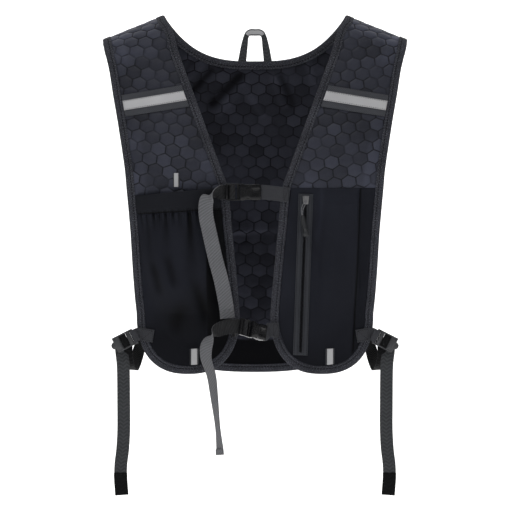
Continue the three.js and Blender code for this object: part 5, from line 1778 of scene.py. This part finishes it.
def stitched_square(name, place, top):
    """A square with a cross in stitches: place gives x and z at shares of its length and width."""
    corners = [(0, -0.4), (0, 0.4), (1, 0.4), (1, -0.4), (0, -0.4), (1, 0.4)]
    parts = []
    for k, (a, b) in enumerate(zip(corners[:-1], corners[1:])):
        t = np.linspace(0, 1, 12)
        x, z = place(mix(a[0], b[0], t), mix(a[1], b[1], t))
        parts.append(stitch_row(f"{name}_{k}", x, z, top, 0.0021, 0.0016, 0.0002))
    return joined(name, parts)


def pick_faces(obj, wanted):
    """Selects only the wanted faces of a mesh being edited, by their middle and normal."""
    bpy.ops.mesh.select_all(action="DESELECT")
    bpy.ops.mesh.select_mode(type="FACE")
    bm = bmesh.from_edit_mesh(obj.data)
    for f in bm.faces:
        f.select_set(wanted(f.calc_center_median(), f.normal))
    bmesh.update_edit_mesh(obj.data)


def thicken(thickness):
    """Extrudes a flat mesh being edited, and turns its faces outwards."""
    bpy.ops.mesh.select_all(action="SELECT")
    bpy.ops.mesh.extrude_region_move(TRANSFORM_OT_translate={"value": (0, 0, thickness)})
    bpy.ops.mesh.select_all(action="SELECT")
    bpy.ops.mesh.normals_make_consistent(inside=False)


def plate(name, xs, ys, holes, thickness, bevel):
    """A plate with square holes: a grid whose lines are moved, emptied and extruded."""
    deselect()
    bpy.ops.mesh.primitive_grid_add(x_subdivisions=len(xs) - 1, y_subdivisions=len(ys) - 1, size=1)
    obj = bpy.context.object
    obj.name = name
    for v in obj.data.vertices:
        i = round((v.co.x + 0.5) * (len(xs) - 1))
        j = round((v.co.y + 0.5) * (len(ys) - 1))
        v.co.x, v.co.y = xs[i], ys[j]
    bpy.ops.object.mode_set(mode="EDIT")
    pick_faces(obj, lambda c, _: any(a < c.x < b and p < c.y < q for a, b, p, q in holes))
    bpy.ops.mesh.delete(type="FACE")
    thicken(thickness)
    bpy.ops.object.mode_set(mode="OBJECT")
    bevelled(obj, bevel)
    place_in_mesh(obj)
    return obj


def set_upright(obj):
    """Turns a plate made flat, so that its face looks along -y."""
    obj.data.transform(Matrix.Rotation(math.pi / 2, 4, "X"))


def in_place(obj, origin, along, deep, up):
    basis = Matrix([list(along), list(deep), list(up)]).transposed().to_4x4()
    obj.data.transform(Matrix.Translation(Vector(origin)) @ basis)


class VEST_OT_chest_buckles(bpy.types.Operator):
    """Side release buckles: a ladder and a socket on each chest strap"""

    bl_idname = "vest.chest_buckles"
    bl_label = "Chest buckles"

    def execute(self, context):
        for row in CHEST:
            origin, along, deep, up, _, _ = buckle_place(row)
            name = row["name"]
            ladder = self.ladder(name)
            socket = self.socket(name)
            for obj, node in ((ladder, "buckle_ladder"), (socket, "buckle_socket")):
                in_place(obj, origin, along, deep, up)
                put(obj, "moulding", [f"{node}_{name}"])
        return {"FINISHED"}

    def ladder(self, name):
        first, middle = LADDER_BAR, LADDER_BAR + LADDER_SLOT
        second = middle + LADDER_BAR
        half = LADDER_HEIGHT / 2
        slot = CHEST_WEBBING / 2 + GAP
        xs = [0, first, middle, second, second + LADDER_SLOT, LADDER_LENGTH]
        ys = [-half, -slot, -slot / 2, 0, slot / 2, slot, half]
        holes = [(first, middle, -slot, slot), (second, second + LADDER_SLOT, -slot, slot)]
        obj = plate(f"ladder_{name}", xs, ys, holes, LADDER_THICKNESS, 0.0006)
        set_upright(obj)
        teeth = []
        for x in (first * 0.5, middle + LADDER_BAR * 0.5):
            size, place = (0.0012, CHEST_WEBBING, 0.0007), (x, 0, LADDER_THICKNESS)
            ridge = block(f"ridge_{x:.4f}", size, place, 0.0003, (1, 1))
            set_upright(ridge)
            teeth.append(ridge)
        return joined(f"ladder_{name}", [obj, *teeth])

    def socket(self, name):
        half = LADDER_HEIGHT / 2
        start, end = LADDER_LENGTH + GAP, LADDER_LENGTH + SOCKET_LENGTH
        notch = start + SOCKET_LENGTH * 0.4
        deselect()
        xs = [start, notch - 0.006, notch - 0.001, notch + 0.004, end - 0.002, end]
        halves = [half, half, half - 0.0032, half - 0.0006, half - 0.0006, half - 0.002]
        bpy.ops.mesh.primitive_grid_add(x_subdivisions=len(xs) - 1, y_subdivisions=4, size=1)
        obj = bpy.context.object
        for v in obj.data.vertices:
            i = round((v.co.x + 0.5) * (len(xs) - 1))
            v.co.y *= 2 * halves[i]
            v.co.x = xs[i]

        def face_of_grip(middle, normal):
            inner = notch + 0.004 < middle.x < end - 0.002 and abs(middle.y) < half * 0.6
            return normal.z > 0.9 and inner

        bpy.ops.object.mode_set(mode="EDIT")
        thicken(SOCKET_THICKNESS)
        pick_faces(obj, face_of_grip)
        bpy.ops.mesh.inset(thickness=0.0008, depth=-0.0006)
        bpy.ops.object.mode_set(mode="OBJECT")
        bevelled(obj, 0.0009)
        place_in_mesh(obj)
        arms = []
        for sign in (-1, 1):
            size = (0.0075, 0.0026, SOCKET_THICKNESS * 0.5)
            middle = (notch - 0.0012, sign * (half - 0.0022), SOCKET_THICKNESS / 2)
            arms.append(block(f"arm_{sign}", size, middle, 0.0008, (1, 1)))
        obj = joined(f"socket_{name}", [obj, *arms])
        set_upright(obj)
        obj.data.transform(Matrix.Translation((0, SOCKET_THICKNESS / 2 - LADDER_THICKNESS / 2, 0)))
        return obj


# Side straps and ladder locks

# Mesh steps along a strap's free end, along the part that shows its face, and along
# the fold at its tip
SIDE_TAIL_STEPS = 150
SIDE_FACE_STEPS = 138
SIDE_FOLD_STEPS = 19
# How much lower the locks hang than in the solids
LOCK_DROP = 0.004
# How far the tab lies over the panel's corner, and the strap's start over the tab
TAB_RISE = 0.006
START_RISE = 0.01
TAB_SLOPE = 0.003
LOCK_OPENING = WEBBING + 1.2 * GAP


def lock_place():
    """Origin and directions of the right ladder lock, and its tab's seat."""
    edge_x, edge_z = (float(v) for v in front_place(0.0, 0.9, 0.0))
    along = np.array([math.cos(LOCK_TILT), 0, -math.sin(LOCK_TILT)])
    up = np.array([math.sin(LOCK_TILT), 0, math.cos(LOCK_TILT)])
    deep = np.array([0.0, 1, 0])
    tab_z = edge_z + TAB_RISE
    edge, _, _, _ = body_frame(edge_x, tab_z, -1.0, COVER_FACE + WEBBING / 2)
    origin = edge + along * SIDE_REACH
    origin[1] -= WEBBING + GAP
    return origin, along, deep, up, edge_x, tab_z


def both_sides(make, label, look, node, held=None):
    """A piece made for the right side, and its reflection on the left."""
    for name, sign in HANDS:
        obj = make(f"{label}_{name}")
        if sign < 0:
            obj.data.transform(Matrix.Diagonal((-1, 1, 1, 1)))
            obj.data.flip_normals()
        put(obj, look, [f"{node}_{name}"] if node else ())
        if held:
            strip_sheet(obj)


class VEST_OT_side_straps(bpy.types.Operator):
    """Side straps, from the back panel through the locks, and the locks' tabs"""

    bl_idname = "vest.side_straps"
    bl_label = "Side straps"

    def execute(self, context):
        both_sides(self.strap, "side_webbing", "side_webbing", "side_strap", "hung")
        both_sides(self.tab, "side_tab_webbing", "tab_webbing", "side_tab", "folded")
        both_sides(self.box, "side_tab_stitches", "thread", None)
        return {"FINISHED"}

    def tab(self, name):
        origin, along, deep, up, edge_x, tab_z = lock_place()
        behind = GAP + WEBBING / 2
        before = -(LOCK_THICKNESS + GAP + WEBBING / 2)
        through = LOCK_BAR + GAP + WEBBING / 2
        points, across = [], []
        for share in (1, 0.8, 0.6, 0.4, 0.2, 0):
            x, z = edge_x - SIDE_TAB * share, tab_z - share * TAB_SLOPE
            p, _, u, _ = body_frame(x, z, -1.0, COVER_FACE + WEBBING / 2)
            points.append(p)
            across.append(u)
        rows = [
            (-0.001, behind), (through - 0.0006, behind), (through, behind - 0.0006),
            (through, before + 0.0006), (through - 0.0006, before),
            (-GAP - WEBBING, before), (-GAP - WEBBING * 2, before + 0.001),
        ]
        loop = local_points(origin, along, deep, rows)
        points = np.concatenate([points, loop])
        across = np.concatenate([across, np.tile(up, (len(loop), 1))])
        points, across = cornered(points, across)
        return strap(name, points, across, SIDE_WEBBING, WEBBING)

    def box(self, name):
        """Stitched square on the tab."""
        _, _, _, _, edge_x, tab_z = lock_place()

        def place(long, wide):
            share = mix(0.22, 0.92, long)
            return edge_x - SIDE_TAB * share, tab_z - share * TAB_SLOPE + wide * SIDE_WEBBING

        return stitched_square(name, place, COVER_FACE + WEBBING)

    def strap(self, name):
        origin, along, deep, up, _, tab_z = lock_place()
        behind = GAP + WEBBING / 2
        before = -(LOCK_THICKNESS + GAP + WEBBING / 2)
        outer = float(between(BACK_ROWS, "outer", 0.86)) * SHOULDER_HALF
        start_z = tab_z + START_RISE
        seats = [
            body_frame(outer + d, start_z, 1.0, STRAP_FACE + WEBBING / 2)
            for d in (-0.02, -0.012, -0.004, 0.002)
        ]
        rear = [s[0] for s in seats]
        rear_up = [s[2] for s in seats]
        reach = LOCK_BAR * 2 + LOCK_SLOT + GAP * 2 + WEBBING
        entry = local_points(origin, along, deep, [(reach, behind)])[0]
        leaving = rear[-1]
        route, turns = [leaving], [rear_up[-1]]
        for out, ahead, down, turn in SIDE_STRAP:
            y = mix(leaving[1], entry[1], ahead)
            route.append(np.array([leaving[0] + out * SIDE_WEBBING, y, leaving[2] - down * SIDE_WEBBING]))
            turns.append(np.array([math.sin(math.radians(turn)), 0, math.cos(math.radians(turn))]))
        pass_up = LOCK_BAR * 2 + LOCK_SLOT + GAP + WEBBING / 2
        back_down = pass_up + LOCK_SLOT + LOCK_BAR
        rows = [
            (pass_up, behind + 0.005), (pass_up, before + 0.001), (pass_up + 0.001, before),
            (back_down - 0.001, before), (back_down, before + 0.001), (back_down, behind),
        ]
        wrap = local_points(origin, along, deep, rows)
        route.append(wrap[0])
        turns.append(up)
        front, front_up = eased(route, unit(np.array(turns)), 90)
        turned_over, over_up = cornered(wrap, np.tile(up, (len(wrap), 1)))
        top = wrap[-1]
        tail, tail_up = [top], [up]
        for out, back, down, turn in SIDE_TAIL_ROWS:
            fall = down * (SIDE_TAIL - LOCK_DROP)
            tail.append(top + np.array([out * SIDE_WEBBING, back * SIDE_WEBBING, -fall]))
            tail_up.append(np.array([math.cos(math.radians(turn)), 0, math.sin(math.radians(turn))]))
        free, free_up = eased(tail, unit(np.array(tail_up)), SIDE_TAIL_STEPS)
        points = np.concatenate([rear, front[1:], turned_over[1:], free[1:]])
        across = np.concatenate([rear_up, front_up[1:], over_up[1:], free_up[1:]])
        # Both faces up to the part that shows its face are drawn dark, partly painted shade through the
        # lock and just below it; so is the folded tip
        plain, tip = len(points) - SIDE_FACE_STEPS, SIDE_FOLD_STEPS
        main = strap(name, points, across, SIDE_WEBBING, WEBBING, plain=plain)
        doubled = free[-tip:] + np.array([0, -WEBBING * 0.9, 0])
        fold = strap("side_end", doubled, free_up[-tip:], SIDE_WEBBING * 1.04, WEBBING * 0.9, plain=tip)
        return joined(name, [main, fold])


class VEST_OT_ladder_locks(bpy.types.Operator):
    """Ladder locks of the side straps"""

    bl_idname = "vest.ladder_locks"
    bl_label = "Ladder locks"

    def execute(self, context):
        both_sides(self.lock, "lock", "lock_moulding", "ladder_lock")
        return {"FINISHED"}

    def lock(self, name):
        origin, along, deep, up, _, _ = lock_place()
        half, slot = LOCK_HEIGHT / 2, SIDE_WEBBING / 2
        starts = [LOCK_BAR + i * (LOCK_SLOT + LOCK_BAR) for i in range(3)]
        xs = sorted({0, LOCK_LENGTH, *starts, *[s + LOCK_OPENING for s in starts]})
        ys = [-half, -slot, -LOCK_THUMB, 0, LOCK_THUMB, slot, half]
        holes = [(s, s + LOCK_OPENING, -slot, slot) for s in starts]
        obj = plate(name, xs, ys, holes, LOCK_THICKNESS, 0.0007)
        deselect()
        place, deep_in = (LOCK_LENGTH, 0, LOCK_THICKNESS / 2), LOCK_THICKNESS * 0.8
        bpy.ops.mesh.primitive_cylinder_add(vertices=32, radius=LOCK_THUMB, depth=deep_in, location=place)
        thumb = bpy.context.object
        bevelled(thumb, 0.0006)
        place_in_mesh(thumb)
        ribs = []
        for low, high in ((starts[0] + LOCK_OPENING, starts[1]), (starts[2] + LOCK_OPENING, LOCK_LENGTH)):
            size = (high - low - 0.0004, slot * 2 - 0.001, 0.0014)
            place = ((low + high) / 2, 0, LOCK_THICKNESS)
            ribs.append(block(f"rib_{low:.4f}", size, place, 0.0006, (0.7, 0.9)))
        obj = joined(name, [obj, thumb, *ribs])
        set_upright(obj)
        in_place(obj, origin, along, deep, up)
        return obj


# Stage

# Side of the picture in pixels, the camera's lens in millimetres and its height
PICTURE_SIDE = 510
LENS = 1000
CAMERA_HEIGHT = -0.2781
FLOOR_HEIGHT = -0.62
FLOOR_CURVE = 0.8


class VEST_OT_stage(bpy.types.Operator):
    """Pale floor and backdrop, soft lights and the camera"""

    bl_idname = "vest.stage"
    bl_label = "Stage"

    def execute(self, context):
        scene = context.scene
        self.floor()
        for name, place, size, power, aim in (
            ("key", (-1.2, -1.7, 2.1), 1.1, 26, (0, 0, -0.25)),
            ("fill", (1.6, -2.0, 1.3), 1.4, 12, (0, 0, -0.25)),
            ("top", (0.0, -0.5, 2.0), 1.2, 18, (0, 0, -0.1)),
            ("rear", (0.0, 2.2, 1.4), 2.0, 10, (0, 0, -0.3)),
        ):
            light = bpy.data.lights.new(name, "AREA")
            light.size = size
            light.energy = power
            obj = bpy.data.objects.new(name, light)
            obj.location = place
            obj.rotation_euler = (Vector(aim) - Vector(place)).to_track_quat("-Z", "Y").to_euler()
            scene.collection.objects.link(obj)
        world = bpy.data.worlds.new("studio")
        world.use_nodes = True
        world.node_tree.nodes["Background"].inputs[0].default_value = (1, 1, 1, 1)
        world.node_tree.nodes["Background"].inputs[1].default_value = 0.1
        scene.world = world
        camera = bpy.data.cameras.new("camera")
        camera.lens = LENS
        width = PICTURE_SIDE * scene.vest_sizes.pixel
        distance = width * camera.lens / camera.sensor_width
        obj = bpy.data.objects.new("camera", camera)
        obj.location = (0.0, -0.05 - distance, CAMERA_HEIGHT)
        obj.rotation_euler = (math.pi / 2, 0, 0)
        scene.collection.objects.link(obj)
        scene.camera = obj
        scene.view_settings.view_transform = "Standard"
        scene.view_settings.look = "None"
        return {"FINISHED"}

    def floor(self):
        """A floor that curves up into a backdrop."""
        profile = [(-8.0, FLOOR_HEIGHT), (1.0, FLOOR_HEIGHT)]
        for k in range(1, 25):
            a = math.pi / 2 * k / 24
            rise = FLOOR_CURVE * (1 - math.cos(a))
            profile.append((1.0 + FLOOR_CURVE * math.sin(a), FLOOR_HEIGHT + rise))
        profile.append((1.0 + FLOOR_CURVE, 4.0))
        points = np.array([(x, y, z) for y, z in profile for x in (-5.0, 5.0)])
        mesh = bpy.data.meshes.new("backdrop")
        faces = [(2 * i, 2 * i + 1, 2 * i + 3, 2 * i + 2) for i in range(len(profile) - 1)]
        mesh.from_pydata(points.tolist(), [], faces)
        mesh.polygons.foreach_set("use_smooth", [True] * len(faces))
        obj = bpy.data.objects.new("backdrop", mesh)
        bpy.context.scene.collection.objects.link(obj)
        mat = bpy.data.materials.new("backdrop_paper")
        mat.use_nodes = True
        shader = mat.node_tree.nodes["Principled BSDF"]
        shader.inputs["Base Color"].default_value = (0.93, 0.93, 0.93, 1)
        shader.inputs["Roughness"].default_value = 0.9
        shader.inputs["Emission Color"].default_value = (1, 1, 1, 1)
        shader.inputs["Emission Strength"].default_value = 0.7
        n = Nodes(mat.node_tree)
        behind = n.add("ShaderNodeNewGeometry").outputs["Backfacing"]
        clear = n.add("ShaderNodeBsdfTransparent").outputs[0]
        seen = n.add("ShaderNodeMixShader", {0: behind, 1: shader.outputs[0], 2: clear}).outputs[0]
        mat.node_tree.links.new(seen, mat.node_tree.nodes["Material Output"].inputs["Surface"])
        mesh.materials.append(mat)


# Settings and panel


def length(name, description, default):
    texts = {"name": name, "description": description, "subtype": "DISTANCE", "unit": "LENGTH"}
    return bpy.props.FloatProperty(default=default, min=0.0, precision=5, **texts)


def paint(name, description, default):
    texts = {"name": name, "description": description, "subtype": "COLOR"}
    return bpy.props.FloatVectorProperty(default=default, min=0.0, max=1.0, size=3, **texts)


class VestSizes(bpy.types.PropertyGroup):
    """Sizes of the pattern, the relief and the meshes' steps"""

    cell_pitch: length("Cell pitch", "Distance between honeycomb cells along a row", 0.017)
    cell_row: length("Row pitch", "Distance between rows of honeycomb cells", 0.0128)
    cell_relief: length("Cell relief", "How far a cell stands out of its grooves", 0.0009)
    panel_step: length("Panel step", "Distance between the panels' mesh lines", 0.00145)
    binding_step: length("Binding step", "Distance between the bindings' mesh lines", 0.0022)
    pixel: length("Pixel", "Size of one pixel of the picture at the vest", 0.001167)


class VestColours(bpy.types.PropertyGroup):
    """Colours of the finishes"""

    panel: paint("Front mesh", "Padded mesh of the front panels", (0.0228, 0.0245, 0.035))
    back: paint("Back mesh", "Padded mesh of the back panel", (0.019, 0.02, 0.027))
    groove: paint("Grooves", "Grooves between the cells", (0.0055, 0.0056, 0.0075))
    binding: paint("Binding", "Folded tape round the edges", (0.064, 0.066, 0.079))
    pocket: paint("Pocket cloth", "Cloth of both pockets", (0.0105, 0.0115, 0.0165))
    elastic: paint("Elastic", "Band at the open pocket's mouth", (0.0095, 0.0102, 0.0132))
    webbing: paint("Webbing", "Webbing of the reflective bands", (0.05, 0.052, 0.059))
    tab: paint("Tabs", "Webbing of the tabs and tags", (0.038, 0.039, 0.044))
    strap: paint("Chest straps", "Webbing of the chest straps", (0.12, 0.122, 0.13))
    side_strap: paint("Side straps", "Webbing of the side straps", (0.042, 0.044, 0.047))
    silver: paint("Silver", "Reflective tape", (0.37, 0.37, 0.38))
    plastic: paint("Plastic", "Chest buckles", (0.006, 0.0062, 0.007))
    # Lighter than the buckles' black plastic: a painted highlight that stands for the lit bars
    lock: paint("Locks", "Ladder locks", (0.04, 0.041, 0.044))
    rubber: paint("Rubber", "Zipper pull", (0.018, 0.019, 0.021))
    zipper: paint("Zipper", "Zipper tape", (0.036, 0.038, 0.044))
    slider: paint("Slider", "Zipper slider", (0.17, 0.17, 0.175))
    thread: paint("Thread", "Stitching", (0.004, 0.004, 0.005))


STEPS = (
    VEST_OT_stage,
    VEST_OT_front_panels,
    VEST_OT_back_panel,
    VEST_OT_bindings,
    VEST_OT_bands,
    VEST_OT_open_pocket,
    VEST_OT_zip_pocket,
    VEST_OT_zipper,
    VEST_OT_tags,
    VEST_OT_hang_loop,
    VEST_OT_chest_straps,
    VEST_OT_chest_buckles,
    VEST_OT_side_straps,
    VEST_OT_ladder_locks,
)


class VEST_PT_pieces(bpy.types.Panel):
    """Lists the vest's sizes, colours and pieces"""

    bl_label = "Running vest"
    bl_idname = "VEST_PT_pieces"
    bl_space_type = "VIEW_3D"
    bl_region_type = "UI"
    bl_category = "Vest"

    def draw(self, context):
        layout = self.layout
        for settings in (context.scene.vest_sizes, context.scene.vest_colours):
            for key in settings.__annotations__:
                layout.prop(settings, key)
        for step in STEPS:
            layout.operator(step.bl_idname)


CLASSES = (VestSizes, VestColours, *STEPS, VEST_PT_pieces)


def register():
    for cls in CLASSES:
        bpy.utils.register_class(cls)
    bpy.types.Scene.vest_sizes = bpy.props.PointerProperty(type=VestSizes)
    bpy.types.Scene.vest_colours = bpy.props.PointerProperty(type=VestColours)


def unregister():
    del bpy.types.Scene.vest_colours
    del bpy.types.Scene.vest_sizes
    for cls in reversed(CLASSES):
        bpy.utils.unregister_class(cls)


def main():
    register()
    for step in STEPS:
        area, name = step.bl_idname.split(".")
        getattr(getattr(bpy.ops, area), name)()
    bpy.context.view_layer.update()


if __name__ == "__main__":
    main()
